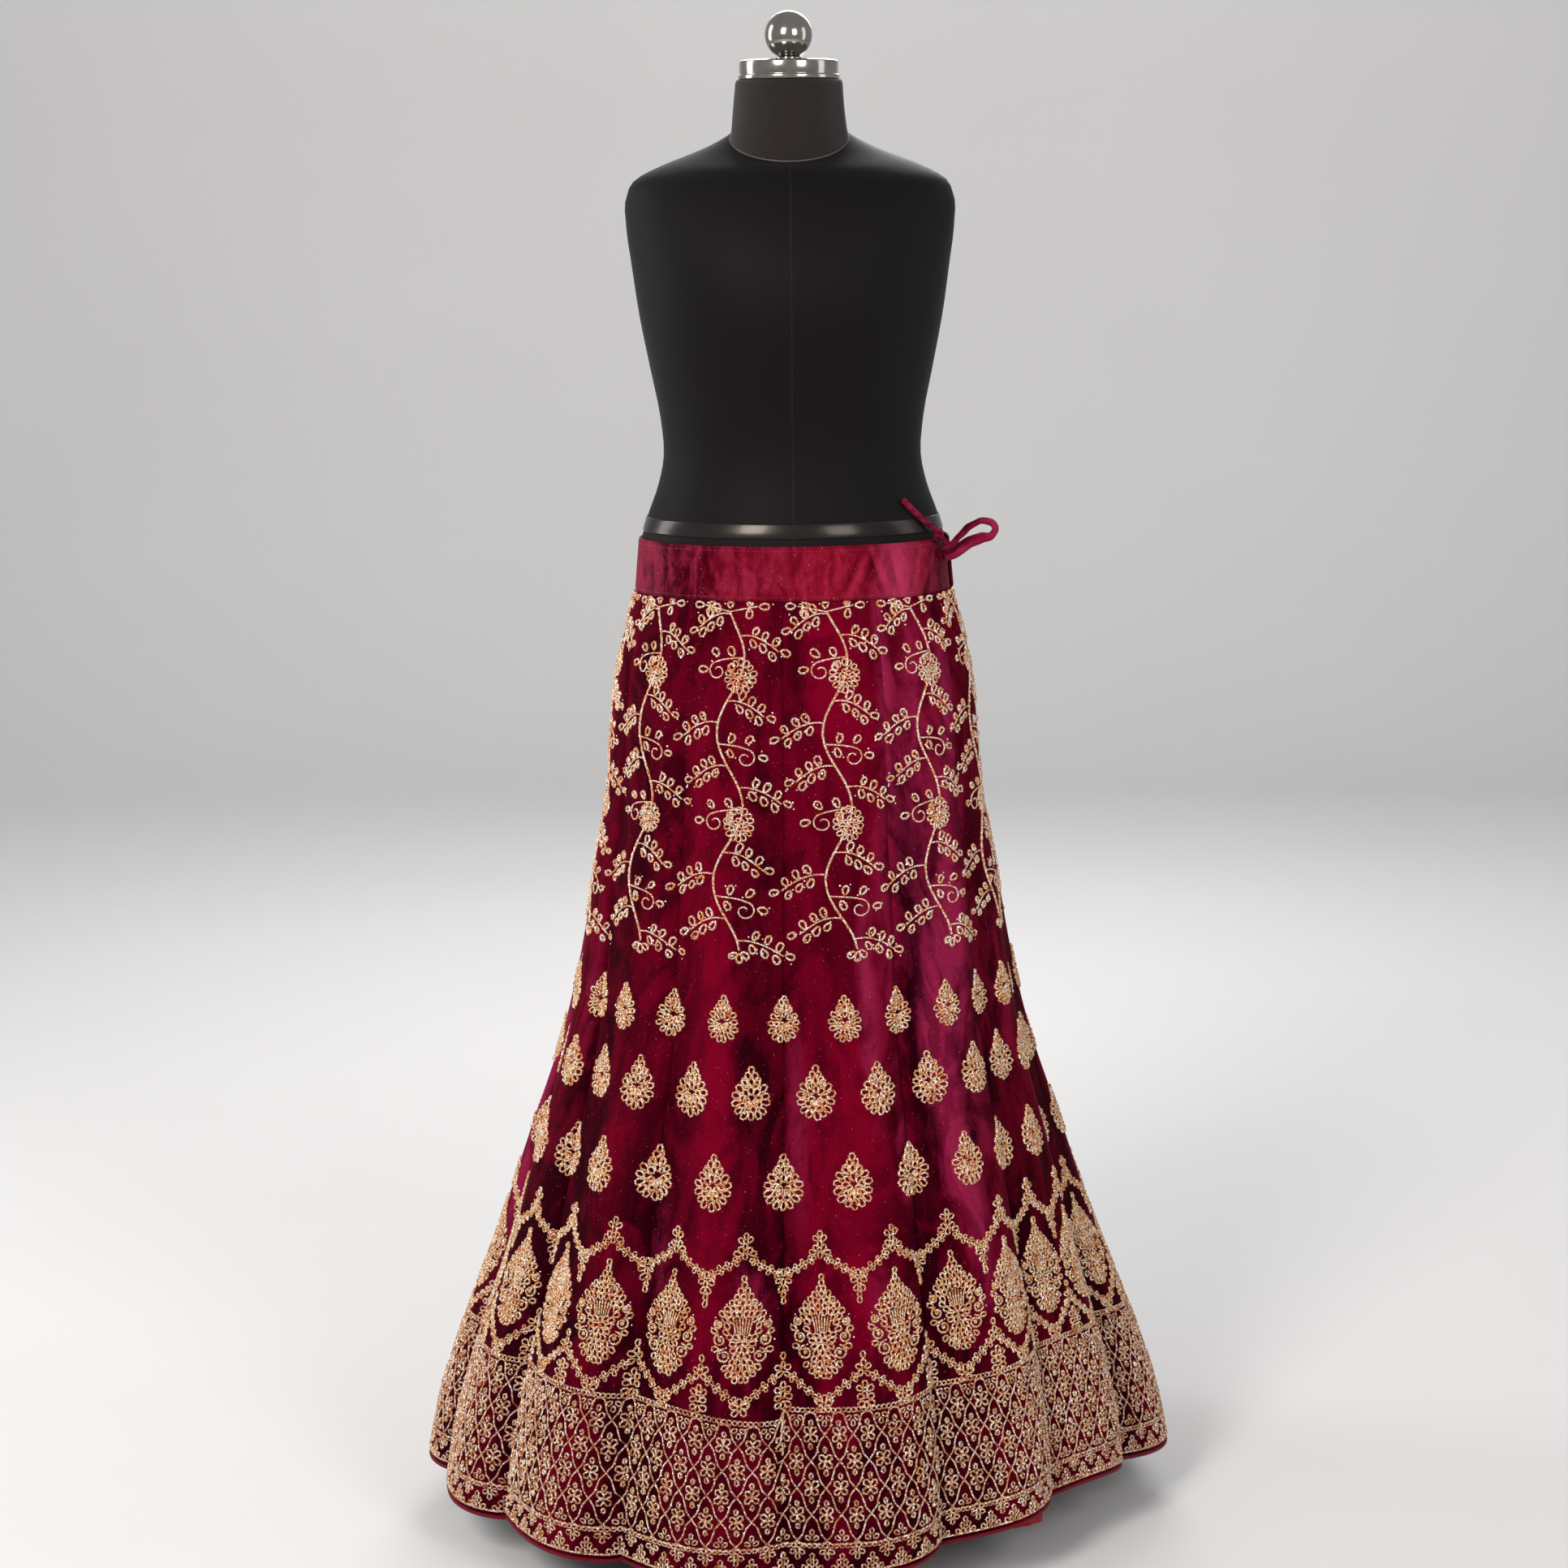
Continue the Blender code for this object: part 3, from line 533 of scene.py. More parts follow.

# %% [markdown]
# ## Creases
# A lined velvet skirt hangs in long soft folds, and between them lie shallow troughs where the cloth was
# folded for storage or where the lining drags. Each is listed with a middle, a length, a width, a depth and
# a lean, and dies away smoothly along and across. A negative depth is a ridge. The hidden sides get their
# own, none of them alike.

# %% Creases
# Drop, length, width and depth are in millimetres, and lean in millimetres sideways for one down.
Crease = namedtuple("Crease", "turn drop length width depth lean")
CREASES = tuple(Crease(*row) for row in (
    (0.34, 395, 300, 13, 2.2, 0.02), (0.72, 300, 360, 16, 1.8, -0.03), (0.86, 520, 260, 12, 2.4, 0.04),
    (0.55, 575, 60, 14, 2.6, 3.2), (0.95, 610, 90, 15, -2.0, 2.6), (0.20, 640, 240, 17, -2.2, 0.03),
    (1.22, 420, 320, 13, 2.0, 0.05), (1.58, 520, 300, 15, 2.4, 0.02), (1.80, 300, 260, 12, -1.6, 0.00),
    (1.42, 680, 220, 18, -2.6, 0.06), (2.30, 460, 300, 16, 2.4, 0.04), (2.62, 640, 260, 18, 2.8, -0.02),
    (2.80, 260, 240, 12, 1.6, 0.05), (2.15, 760, 90, 16, -2.2, 2.2), (3.30, 540, 320, 18, 2.6, 0.03),
    (3.66, 360, 260, 14, 2.0, -0.04), (4.24, 620, 280, 19, 2.8, 0.05), (4.60, 430, 340, 15, 2.2, 0.02),
    (4.85, 700, 110, 16, -2.4, -2.0), (5.28, 500, 300, 17, 2.4, -0.05), (5.70, 660, 240, 20, 2.8, 0.03),
    (6.35, 560, 340, 18, 2.6, 0.02), (6.75, 330, 240, 12, 1.8, 0.05), (7.25, 640, 280, 20, 2.8, -0.03),
    (7.62, 460, 320, 15, 2.2, 0.04), (8.30, 540, 280, 18, 2.6, 0.05), (8.72, 700, 90, 15, -2.4, 2.4),
    (9.28, 420, 300, 14, 2.0, -0.02), (9.66, 620, 300, 19, 2.8, 0.03), (10.32, 520, 320, 17, 2.4, 0.04),
    (10.74, 680, 240, 18, -2.2, -0.04), (11.25, 470, 280, 15, 2.2, 0.02), (11.68, 640, 260, 18, 2.6, 0.05),
    (12.30, 560, 300, 16, 2.4, -0.03), (12.70, 400, 280, 13, 1.8, 0.04), (12.55, 720, 100, 15, -2.4, -2.4),
    (13.25, 480, 300, 14, 2.2, 0.04), (13.60, 350, 320, 13, 1.8, -0.02), (13.80, 610, 260, 17, 2.6, 0.03),
    (13.40, 690, 80, 13, -1.8, 2.8),
))
# Tiny dimples where the waist seam pulls, two a kali.
PULLS = tuple(Crease(n + share, 34 + 9 * (n % 3), 46, 6, 1.0 + 0.2 * (n % 2), 0.05 * (n % 3 - 1))
              for n in range(KALIS_ROUND) for share in (0.28 + 0.05 * (n % 2), 0.71 - 0.04 * (n % 3)))
# Metres for one turn where the creases, the pulls and the painted light streaks of the pile lie.
CREASE_KALI, PULL_KALI, STREAK_KALI = 0.15, 0.09, 0.12


def crease_field(turn, fall, creases, metres_round):
    """Sum of depth * exp(-(along/length)^2) * exp(-(across/width)^2), turned by each crease's lean."""
    total = np.zeros(np.broadcast(turn, fall).shape)
    for crease in creases:
        middle, drop, length, width, depth, lean = crease
        sideways = np.mod(turn - middle + KALIS_ROUND / 2, KALIS_ROUND) - KALIS_ROUND / 2
        sideways = sideways * metres_round * 1000
        down = fall * CLOTH_MM - drop
        size = math.hypot(1.0, lean)
        along = (down + lean * sideways) / size
        across = (sideways - lean * down) / size
        total = total - depth / 1000 * np.exp(-((along / (0.5 * length)) ** 2) - (across / width) ** 2)
    return total


def skirt_surface(turn, fall, outward=0.0):
    """The velvet's outer face: the skirt's form with its creases, moved outward."""
    turn, fall, outward = np.broadcast_arrays(*(np.asarray(v, float) for v in (turn, fall, outward)))
    settle = ease(fall / 0.04) * ease((1 - fall) / 0.05)  # the seam and the piping hold the two edges
    creased = crease_field(turn, fall, CREASES, CREASE_KALI) + crease_field(turn, fall, PULLS, PULL_KALI)
    return skirt_form(turn, fall, outward + creased * settle)


def skirt_normal(turn, fall):
    """Outward direction: the way down the cloth crossed with the way round it."""
    round_step, fall_step = 0.004, 0.001
    inside = np.clip(turn, np.floor(turn) + round_step, np.floor(turn) + 1 - round_step)
    around = skirt_surface(inside + round_step * 0.9, fall) - skirt_surface(inside - round_step * 0.9, fall)
    down = skirt_surface(inside, fall + fall_step) - skirt_surface(inside, fall - fall_step)
    normal = np.cross(down, around)
    return normal / np.linalg.norm(normal, axis=-1, keepdims=True)


sampled = np.meshgrid(np.linspace(0, KALIS_ROUND, 1401), np.linspace(0, 1, 201))
deepest = crease_field(*sampled, CREASES, CREASE_KALI)
print("creases:", len(CREASES) + len(PULLS), "deepest", round(float(deepest.min()) * 1000, 1), "mm")

# %% [markdown]
# ## Velvet
# Velvet is dark where you look straight down its pile and bright where the pile leans over, so a hand
# brushed across it leaves light and dark patches. The sheen of the shader gives the bright edges. The
# patches here are painted into the colour: long soft streaks of painted sheen down each kali, some towards
# crimson and some towards magenta, strongest where the flutes turn to the light, and painted shade in the
# folds and creases, all over a fine pile.

# %% Velvet
velvet = Finish("velvet_pile", Sheen_Weight=0.16, Sheen_Roughness=0.30, Sheen_Tint=(0.95, 0.02, 0.10, 1.0),
                Specular_IOR_Level=0.02, Specular_Tint=(1.0, 0.2, 0.3, 1.0))
on_cloth = velvet.lie("lie")
streak = velvet.noise(velvet.stretched(on_cloth, 20.0, 2.2), 1.0, 3.0, 0.55, 0.6)
crush = velvet.noise(velvet.stretched(on_cloth, 17.0, 8.0), 1.0, 4.0, 0.55, 2.2)
brush = velvet.noise(velvet.stretched(on_cloth, 52.0, 24.0), 1.0, 4.0, 0.6, 1.6)
fine = velvet.noise(velvet.stretched(on_cloth, 620.0, 260.0), 1.0, 2.0, 0.6)
# Painted light: the nap values are painted sheen streaks, the rose values painted magenta highlights, and
# the dim values painted shade in the folds, the creases and towards the hem.
lit = velvet.painted("nap_sheen")
rose_sheen = velvet.painted("rose_highlight")
dim = velvet.painted("dim")
patches = velvet.between(crush * 0.8 + brush * 0.2, 0.43, 0.57)
light = velvet.between(streak, 0.36, 0.64) * 0.34 + patches * 0.36 + brush * 0.16 + lit * 0.52 - dim * 0.42
light = velvet.between(light, 0.12, 1.06)
base = velvet.blend(light, (0.017, 0.0001, 0.0026), (0.155, 0.0006, 0.0122))
rose_sheen_share = velvet.between(rose_sheen * (0.50 + patches * 0.7) + brush * 0.2 - 0.14, 0.12, 1.1)
base = velvet.blend(rose_sheen_share, base, (0.235, 0.0115, 0.051))
dust = velvet.noise(on_cloth, 430.0, 1.0)
base = velvet.blend(velvet.between(dust, 0.73, 0.77) * 0.35, base, (0.55, 0.22, 0.26))
pile = velvet.blend(velvet.between(fine, 0.3, 0.75) * 0.30, base, (0.009, 0.0001, 0.0015))
velvet.feed(Base_Color=pile, Roughness=0.62 + brush * 0.25,
            Normal=velvet.bump(fine * 0.25 + brush * 1.6 + crush * 3.0, 0.0011, 0.6))
print("velvet nodes:", len(velvet.tree.nodes))

# %% [markdown]
# ## The kalis
# Each kali is its own panel of cloth: a wall of two grids, an outer face on the skirt's surface and an inner
# one the thickness of the cloth behind it. Its two long edges roll in by under a millimetre, which draws the
# seam between two panels as a fine line. The pile's painted sheen, painted rose highlights and painted shade
# are listed as long soft streaks, with more painted shade in the folds and creases and towards the hem, and
# kept on the points.

# %% The kalis
Streak = namedtuple("Streak", "turn drop length width strength")  # drop, length and width in millimetres
SHEEN_STREAKS = tuple(Streak(*row) for row in (
    (-0.62, 420, 520, 34, 1.0), (-0.40, 640, 260, 26, 0.6), (0.20, 300, 420, 30, 0.7),
    (0.42, 610, 300, 34, 0.6), (0.62, 160, 260, 26, 0.9), (0.78, 470, 300, 24, 0.8),
    (1.10, 120, 240, 18, 0.6), (0.47, 535, 200, 26, 0.9), (1.36, 510, 220, 14, 0.8),
    (1.62, 640, 240, 30, 0.5), (0.88, 260, 460, 16, 0.8), (0.45, 50, 200, 34, 0.6),
    (1.40, 60, 220, 34, 0.7), (-0.30, 70, 240, 36, 0.5), (1.62, 230, 300, 20, 0.6),
    (0.50, 720, 160, 30, 0.5), (0.78, 770, 130, 16, 0.6), (0.30, 800, 120, 14, 0.5),
    (-1.30, 520, 420, 36, 0.4), (-1.75, 300, 400, 30, 0.3), (2.35, 520, 300, 30, 0.3),
))
ROSE_SHEEN_STREAKS = tuple(Streak(*row) for row in (
    (0.70, 415, 220, 11, 1.0), (1.02, 90, 300, 9, 0.9), (1.40, 525, 220, 12, 1.1),
    (1.50, 640, 160, 10, 0.8), (0.95, 590, 160, 8, 0.6), (1.72, 430, 260, 9, 0.5),
    (1.80, 150, 220, 9, 0.8), (1.66, 290, 200, 11, 0.9), (1.50, 400, 160, 12, 0.8),
    (1.36, 480, 200, 15, 1.1), (1.60, 320, 700, 62, 0.50), (1.30, 90, 260, 20, 0.5),
    (0.90, 330, 300, 12, 0.5), (0.10, 520, 240, 12, 0.5), (-0.22, 700, 160, 18, 0.5),
    (0.66, 720, 140, 16, 0.5), (1.95, 180, 280, 12, 0.5), (2.45, 420, 320, 18, 0.4),
    (-0.9, 660, 160, 14, 0.4),
))
SHADE_STREAKS = tuple(Streak(*row) for row in (
    (1.12, 230, 420, 12, 0.6), (1.22, 290, 160, 15, 0.5), (-0.30, 470, 260, 30, 0.4),
    (-0.75, 560, 300, 26, 0.35), (1.86, 420, 240, 10, 0.4), (0.30, 800, 120, 24, 0.4),
))
KALI_COLUMNS = 27
KALI_ROWS = 86
SEAM_ROLL = 0.0008


def painted_streak_field(turn, fall, streaks):
    """The front's streaks as placed, and again on the hidden sides, a third of the way on and weaker."""
    total = np.zeros(np.broadcast(turn, fall).shape)
    for shift, share in ((0, 1.0), (4.7, 0.7), (9.4, 0.8)):
        ridges = [Crease(np.mod(streak.turn + shift, KALIS_ROUND), streak.drop, streak.length, streak.width,
                         -1000 * streak.strength * share, 0.02) for streak in streaks]
        total = total + crease_field(turn, fall, ridges, STREAK_KALI)
    return np.clip(total, 0, 1.2)


def kali(number):
    """One panel: columns closer together near its seams, rows even, seams rolled in."""
    even = np.arange(KALI_COLUMNS + 1) / KALI_COLUMNS
    across = 0.4 * even + 0.6 * (0.5 - 0.5 * np.cos(math.pi * even))
    turn, fall = np.meshgrid(number + across, np.arange(KALI_ROWS + 1) / KALI_ROWS)
    turn[:, -1] = number + 1 - 1e-9
    width = kali_width(turn, fall)
    from_seam = np.minimum(turn - number, number + 1 - turn) * width
    roll = -SEAM_ROLL * (1 - ease(from_seam / 0.003))
    outer = skirt_surface(turn, fall, roll)
    inner = skirt_surface(turn, fall, -VELVET)
    uv = np.stack([(turn - number - 0.5) * width + number * 0.37, (1 - fall) * CLOTH_LENGTH], axis=-1)
    points, quads, corner_uv = wall(outer, inner, uv)
    # Painted shade: darker in the folds at the seams, in the creases' troughs and along the shade streaks,
    # lighter on ridges, and darker towards the hem.
    folds = fold_depth(turn, outer[..., 2]) / 0.020
    troughs = -crease_field(turn, fall, CREASES, CREASE_KALI) / 0.0024
    low = ease((fall * CLOTH_LENGTH - 0.56) / 0.14)
    shade = painted_streak_field(turn, fall, SHADE_STREAKS)
    paint = {"nap_sheen": painted_streak_field(turn, fall, SHEEN_STREAKS), "rose_highlight": painted_streak_field(turn, fall, ROSE_SHEEN_STREAKS),
             "dim": 0.8 * np.clip(folds, 0, 1.2) + 0.40 * np.clip(troughs, -1, 1) + 0.08 * low + 0.7 * shade}
    paint = {key: np.tile(value.ravel(), 2) for key, value in paint.items()}
    piece = add_piece(f"velvet_kali_{number + 1:02d}", points, quads, velvet.material, "velvet",
                      corner_uv=corner_uv, values=paint)
    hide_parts(f"kali_{number + 1:02d}")
    rows = lengths(outer, 1)
    length = lengths(outer, 0).mean()
    flat = (float(rows.max()), float(length))
    return flat


cut = [kali(number) for number in range(KALIS_ROUND)]
print("kali cut, mm: hem", [round(w * 1000) for w, _ in cut], "length", [round(h * 1000) for _, h in cut])

# %% [markdown]
# ## Zari
# Zari is metal thread wound round a core. Here it is couched down as a thick cord that stands up
# from the velvet, so it is built as real cord: a low three-sided tube, shaded round, that follows
# every line of the design on the cloth's own surface. A drawing stays in the cloth's coordinates
# until the last step, when its strokes are all lifted onto the velvet at once.

# %% Zari finishes
def zari(name, deep, pale, twist_shade):
    """Wound metal thread: a coarse twist along the cord with painted shade in its grooves, patches of wear,
    and pale flecks of painted glint.
    """
    made = Finish(name, Metallic=0.36, Specular_IOR_Level=0.45, Specular_Tint=(1.0, 0.76, 0.52, 1.0))
    lie = made.lie("lie")
    place = made.place()
    wind = made.node("ShaderNodeTexWave", {"wave_type": "BANDS", "bands_direction": "DIAGONAL"},
                     Vector=made.stretched(lie, 330.0, 1.0), Scale=1.0, Distortion=1.2, Detail=1.0)
    wear = made.noise(place, 90.0, 2.0, 0.6)
    glint_flecks = made.noise(place, 480.0, 1.0, 0.5)
    gold = made.blend(made.between(wear, 0.42, 0.58), deep, pale)
    # Painted shade where the twist's grooves and the flecks run low, then pale painted glints on the flecks.
    gold = made.blend(made.between(wind * 0.5 + glint_flecks * 1.1, 0.50, 0.86), twist_shade, gold)
    gold = made.blend(made.between(glint_flecks, 0.53, 0.585), gold, (1.0, 0.94, 0.85))
    made.feed(Base_Color=gold, Roughness=0.22 + wear * 0.25,
              Normal=made.bump(wind + glint_flecks * 2.5, 0.0007, 0.9))
    return made.material


# For each gold: deep and pale wear, then the painted shade of the twist's grooves.
zari_gold = zari("zari_gold", (0.88, 0.320, 0.082), (1.0, 0.66, 0.30), (0.29, 0.062, 0.014))
zari_pink_gold = zari("zari_pink_gold", (0.93, 0.375, 0.110), (1.0, 0.76, 0.53), (0.38, 0.092, 0.034))
zari_bronze = zari("zari_bronze", (0.69, 0.245, 0.076), (1.0, 0.58, 0.30), (0.21, 0.049, 0.015))
print("zari finishes:", zari_gold.name, zari_pink_gold.name, zari_bronze.name)

# %% [markdown]
# ## Strokes
# A stroke is a row of places on the cloth. Loops of one size are drawn for every place at once,
# as arrays of strokes, and a stem is drawn smoothly through a few points. Sizes of the small parts
# are in millimetres, and places across a kali are in hundredths of its width, so that the design
# narrows with the kalis towards the waist while its loops keep their size.

# %% Strokes
SINK = 0.0003  # how far the cord's foot is pressed into the pile


def leaf(length, width, points=8, point_share=0.4):
    """Loop with a pointed foot: (-cos a, sin a * (1 - s + s * (1 - cos a) / 2)), times half its size."""
    a = full_circle(points)
    side = np.sin(a) * (1 - point_share + point_share * (1 - np.cos(a)) / 2)
    return np.stack([-np.cos(a) * length / 2, side * width / 2], axis=-1)


def oval_ring(width, height, points=10):
    a = full_circle(points)
    return np.stack([np.cos(a) * width / 2, np.sin(a) * height / 2], axis=-1)


def turned(shape, degrees):
    """The shape turned anticlockwise for each of the given headings: (headings, points, 2)."""
    a = np.radians(np.atleast_1d(np.asarray(degrees, float)))[:, None]
    x = shape[:, 0] * np.cos(a) - shape[:, 1] * np.sin(a)
    y = shape[:, 0] * np.sin(a) + shape[:, 1] * np.cos(a)
    return np.stack([x, y], axis=-1)


def loops(centres, headings, length, width, points=8):
    """Loops at (x, up) centres, each pointing away along its heading: (loops, points, 2)."""
    centres = np.atleast_2d(np.asarray(centres, float))
    return turned(leaf(length, width, points), headings) + centres[:, None]


def petals(count, reach, length, width, start=90.0, span=360.0, middle=(0.0, 0.0), squash=(1.0, 1.0),
           points=8):
    """Loops round a middle: evenly spaced headings, each loop's centre at reach along its own heading."""
    step = span / count if span == 360.0 else span / (count - 1)
    a = np.radians(start + step * np.arange(count))
    centres = np.stack([np.cos(a) * reach * squash[0], np.sin(a) * reach * squash[1]], axis=-1) + middle
    outward = np.degrees(np.arctan2(np.sin(a) / squash[1], np.cos(a) / squash[0]))
    return loops(centres, outward, length, width, points)


def curve(points, spacing=3.2):
    """A smooth route with a place about every spacing, in the units of its points."""
    return smooth_route(points, max(2, int(round(travelled(points)[-1] / spacing)) + 1))


def scroll(middle, radius, start, sweep_degrees, inner=0.25, points=14):
    """Spiral whose radius shrinks evenly with its angle, from radius to inner * radius."""
    share = np.linspace(0.0, 1.0, points)
    a = np.radians(start + sweep_degrees * share)
    r = radius * (1 - (1 - inner) * share)
    return np.stack([middle[0] + r * np.cos(a), middle[1] + r * np.sin(a)], axis=-1)


def as_group(shapes):
    """One shape or several, as an array of (shapes, points, 2)."""
    shapes = np.asarray(shapes, float)
    return shapes[None] if shapes.ndim == 2 else shapes


by_hand = np.random.default_rng(7)


class Drawing:
    """Strokes on the cloth, gathered by their number of points, to be raised as one joined piece."""

    def __init__(self):
        self.layers = []

    def add(self, turn, fall, closed, wide=0.0021, high=0.0013):
        """Strokes as arrays of turns and falls, one row a stroke; the cord's width and height in metres."""
        points = turn.shape[-1]
        self.layers.append((turn.reshape(-1, points), fall.reshape(-1, points), closed, wide, high))

    def motif(self, shapes, turns, drop, closed=True, grow=1.0, wander=0.0, **cord):
        """Shapes in millimetres (x, up), drawn at every turn at this drop.

        No two are sewn alike: each shape wanders by some tenths of a millimetre and turns a little.
        """
        turns, drop = np.broadcast_arrays(np.asarray(turns, float), np.asarray(drop, float))
        fall = drop / CLOTH_MM
        width = kali_width(turns, fall) * 1000
        shapes = as_group(shapes)
        grow = np.broadcast_to(grow, turns.shape)[:, None, None]
        shapes = np.broadcast_to(shapes[None], (len(turns), *shapes.shape))
        if wander:
            middle = shapes.mean(axis=2, keepdims=True)
            arm = (shapes - middle) * by_hand.normal(1.0, 0.05, (*shapes.shape[:2], 1, 1))
            tip = by_hand.normal(0.0, 0.28 * wander, (*shapes.shape[:2], 1))
            arm = np.stack([arm[..., 0] - tip * arm[..., 1], arm[..., 1] + tip * arm[..., 0]], axis=-1)
            shapes = middle + arm + by_hand.normal(0.0, wander, middle.shape)
        across = turns[:, None, None] + shapes[..., 0] * grow / width[:, None, None]
        down = fall[:, None, None] - shapes[..., 1] * grow / CLOTH_MM
        self.add(across, np.broadcast_to(down, across.shape), closed, **cord)

    def line(self, points, turns, closed=False, **cord):
        """A smooth stroke through (hundredths of a kali, drop in millimetres), drawn in every kali."""
        drawn = curve(points)
        across = np.asarray(turns, float)[:, None] + drawn[None, :, 0] / 100
        self.add(across, np.broadcast_to(drawn[None, :, 1] / CLOTH_MM, across.shape), closed, **cord)


def unit(vectors):
    return vectors / np.maximum(np.linalg.norm(vectors, axis=-1, keepdims=True), 1e-9)


def cord_rings(middle, normal, closed, wide, high):
    """Three points at each place: the foot's two edges in the pile and a crest that rises and sinks."""
    if closed:
        ahead = np.roll(middle, -1, axis=1) - np.roll(middle, 1, axis=1)
    else:
        ahead = np.gradient(middle, axis=1)
    beside = unit(np.cross(normal, unit(ahead)))
    strokes, count = middle.shape[:2]
    knobs = 1 + 0.24 * np.sin(2.4 * np.arange(count)[None, :] + 1.7 * np.arange(strokes)[:, None])
    foot = middle - normal * SINK
    crest = middle + normal * high * knobs[..., None]
    return np.stack([foot + beside * wide / 2, crest, foot - beside * wide / 2], axis=2)


def cord_faces(middle, closed):
    """Quads between each place's ring and the next one's, with metres along the cord and thirds round it."""
    strokes, count = middle.shape[:2]
    segments = count if closed else count - 1
    first = np.arange(strokes)[:, None, None] * count
    here = first + np.arange(segments)[None, :, None]
    there = first + (np.arange(segments)[None, :, None] + 1) % count
    j = np.arange(3)[None, None, :]
    side = (j + 1) % 3
    quads = np.broadcast_arrays(here * 3 + j, here * 3 + side, there * 3 + side, there * 3 + j)
    steps = np.linalg.norm(np.roll(middle, -1, axis=1) - middle, axis=-1)
    along = np.concatenate([np.zeros((strokes, 1)), np.cumsum(steps, axis=1)], axis=1)[:, : segments + 1]
    start, end = along[:, :-1, None], along[:, 1:, None]
    pairs = [(start, j / 3), (start, (j + 1) / 3), (end, (j + 1) / 3), (end, j / 3)]
    uv = [np.stack(np.broadcast_arrays(u, v), axis=-1) for u, v in pairs]
    return np.stack(quads, axis=-1).reshape(-1, 4), np.stack(uv, axis=3).reshape(-1, 2)


def raise_cords(name, drawing, finish):
    """One mesh of three-sided tubes: all strokes of the drawing on the velvet, their open ends capped."""
    points, quads, uvs, tips, offset = [], [], [], [], 0
    for turn, fall, closed, wide, high in drawing.layers:
        fall = np.clip(fall, 0.0008, 0.9985)
        middle = skirt_surface(turn, fall)
        points.append(cord_rings(middle, skirt_normal(turn, fall), closed, wide, high).reshape(-1, 3))
        faces, uv = cord_faces(middle, closed)
        quads.append(faces + offset)
        uvs.append(uv)
        strokes, count = turn.shape
        if not closed:
            first = np.arange(strokes) * count * 3 + offset
            last = first + (count - 1) * 3
            tips.append(np.stack([first, first + 2, first + 1], axis=-1))
            tips.append(np.stack([last, last + 1, last + 2], axis=-1))
        offset += strokes * count * 3
    tips = np.concatenate(tips) if tips else np.zeros((0, 3), np.int32)
    uvs.append(np.zeros((len(tips) * 3, 2)))
    piece = add_piece(name, np.concatenate(points), np.concatenate(quads), finish, "zari",
                      triangles=tips, corner_uv=np.concatenate(uvs))
    print(name, "strokes", sum(len(layer[0]) for layer in drawing.layers), "triangles", pieces_made[-1][1])
    return piece


EVERY_KALI = np.arange(KALIS_ROUND) + 0.5
HALF_KALIS = np.arange(2 * KALIS_ROUND) / 2
QUARTERS = HALF_KALIS + 0.25
print("a loop has", len(leaf(8, 6)), "points")

# %% [markdown]
# ## The vines
# One vine grows down each kali from a fork at the waist. Its stem waves round the kali's middle and
# sends a twig to the left and to the right by turns: two with pairs of looped leaves, then one that
# ends in a curl. A flower wreathed in loops sits on the stem at the same place of every wave. All
# places follow from the rules below, in hundredths of the kali's width from its middle and
# millimetres down from the waist seam, and a leaf adds the way it points.

# %% The vine's rules
VINE_WAVE, VINE_PERIOD, VINE_FOOT = 13.0, 150.0, 352
FLOWER_DROPS = (75.0, 225.0)
TWIG_DROPS = [drop for drop in range(12, 345, 22)
              if min(abs(drop - flower) for flower in FLOWER_DROPS) > 13]


def stem_across(drop):
    """13 * sin(2 pi * (drop - 20) / 150)."""
    return VINE_WAVE * math.sin(2 * math.pi * (drop - 20) / VINE_PERIOD)


def leafy_twig(across, drop, side, reach):
    """A twig sinking by 16 * share^1.5 - 3 * sin(pi * share), three pairs of leaves and one at its tip."""
    towards = 90 - 90 * side
    share = np.array([0.0, 0.25, 0.5, 0.75, 1.0, 0.42, 0.67, 0.92])
    x = across + side * reach * share
    y = drop + 16 * share ** 1.5 - 3 * np.sin(math.pi * share)
    leaves = [(x[4] + side * 6, y[4] + 1, towards - side * 20)]
    for n in (5, 6, 7):
        leaves += [(x[n], y[n] - 6.5, towards + side * 62),
                   (x[n] - side * 3, y[n] + 6.5, towards - side * 62)]
    return np.stack([x[:5], y[:5]], axis=-1), leaves


def curled_twig(across, drop, side):
    """A twig that runs out and winds inward: radius 10 * (1 - 0.68 * share) over 7.2 radians."""
    share = np.linspace(0, 1, 11)
    a = math.pi / 2 - 7.2 * share
    radius = 10 * (1 - 0.68 * share)
    x = across + side * (27 + radius * np.cos(a))
    y = drop + 14 - radius * np.sin(a)
    line = np.concatenate([[(across, drop), (across + side * 13, drop + 1)], np.stack([x, y], axis=-1)])
    placed = ((14, -6, 90, -25), (12, 9, -90, 20), (31, -4, 90, -50), (43, 13, 90, -100))
    leaves = [(across + side * out, drop + down, heading + side * turn)
              for out, down, heading, turn in placed]
    return line, leaves


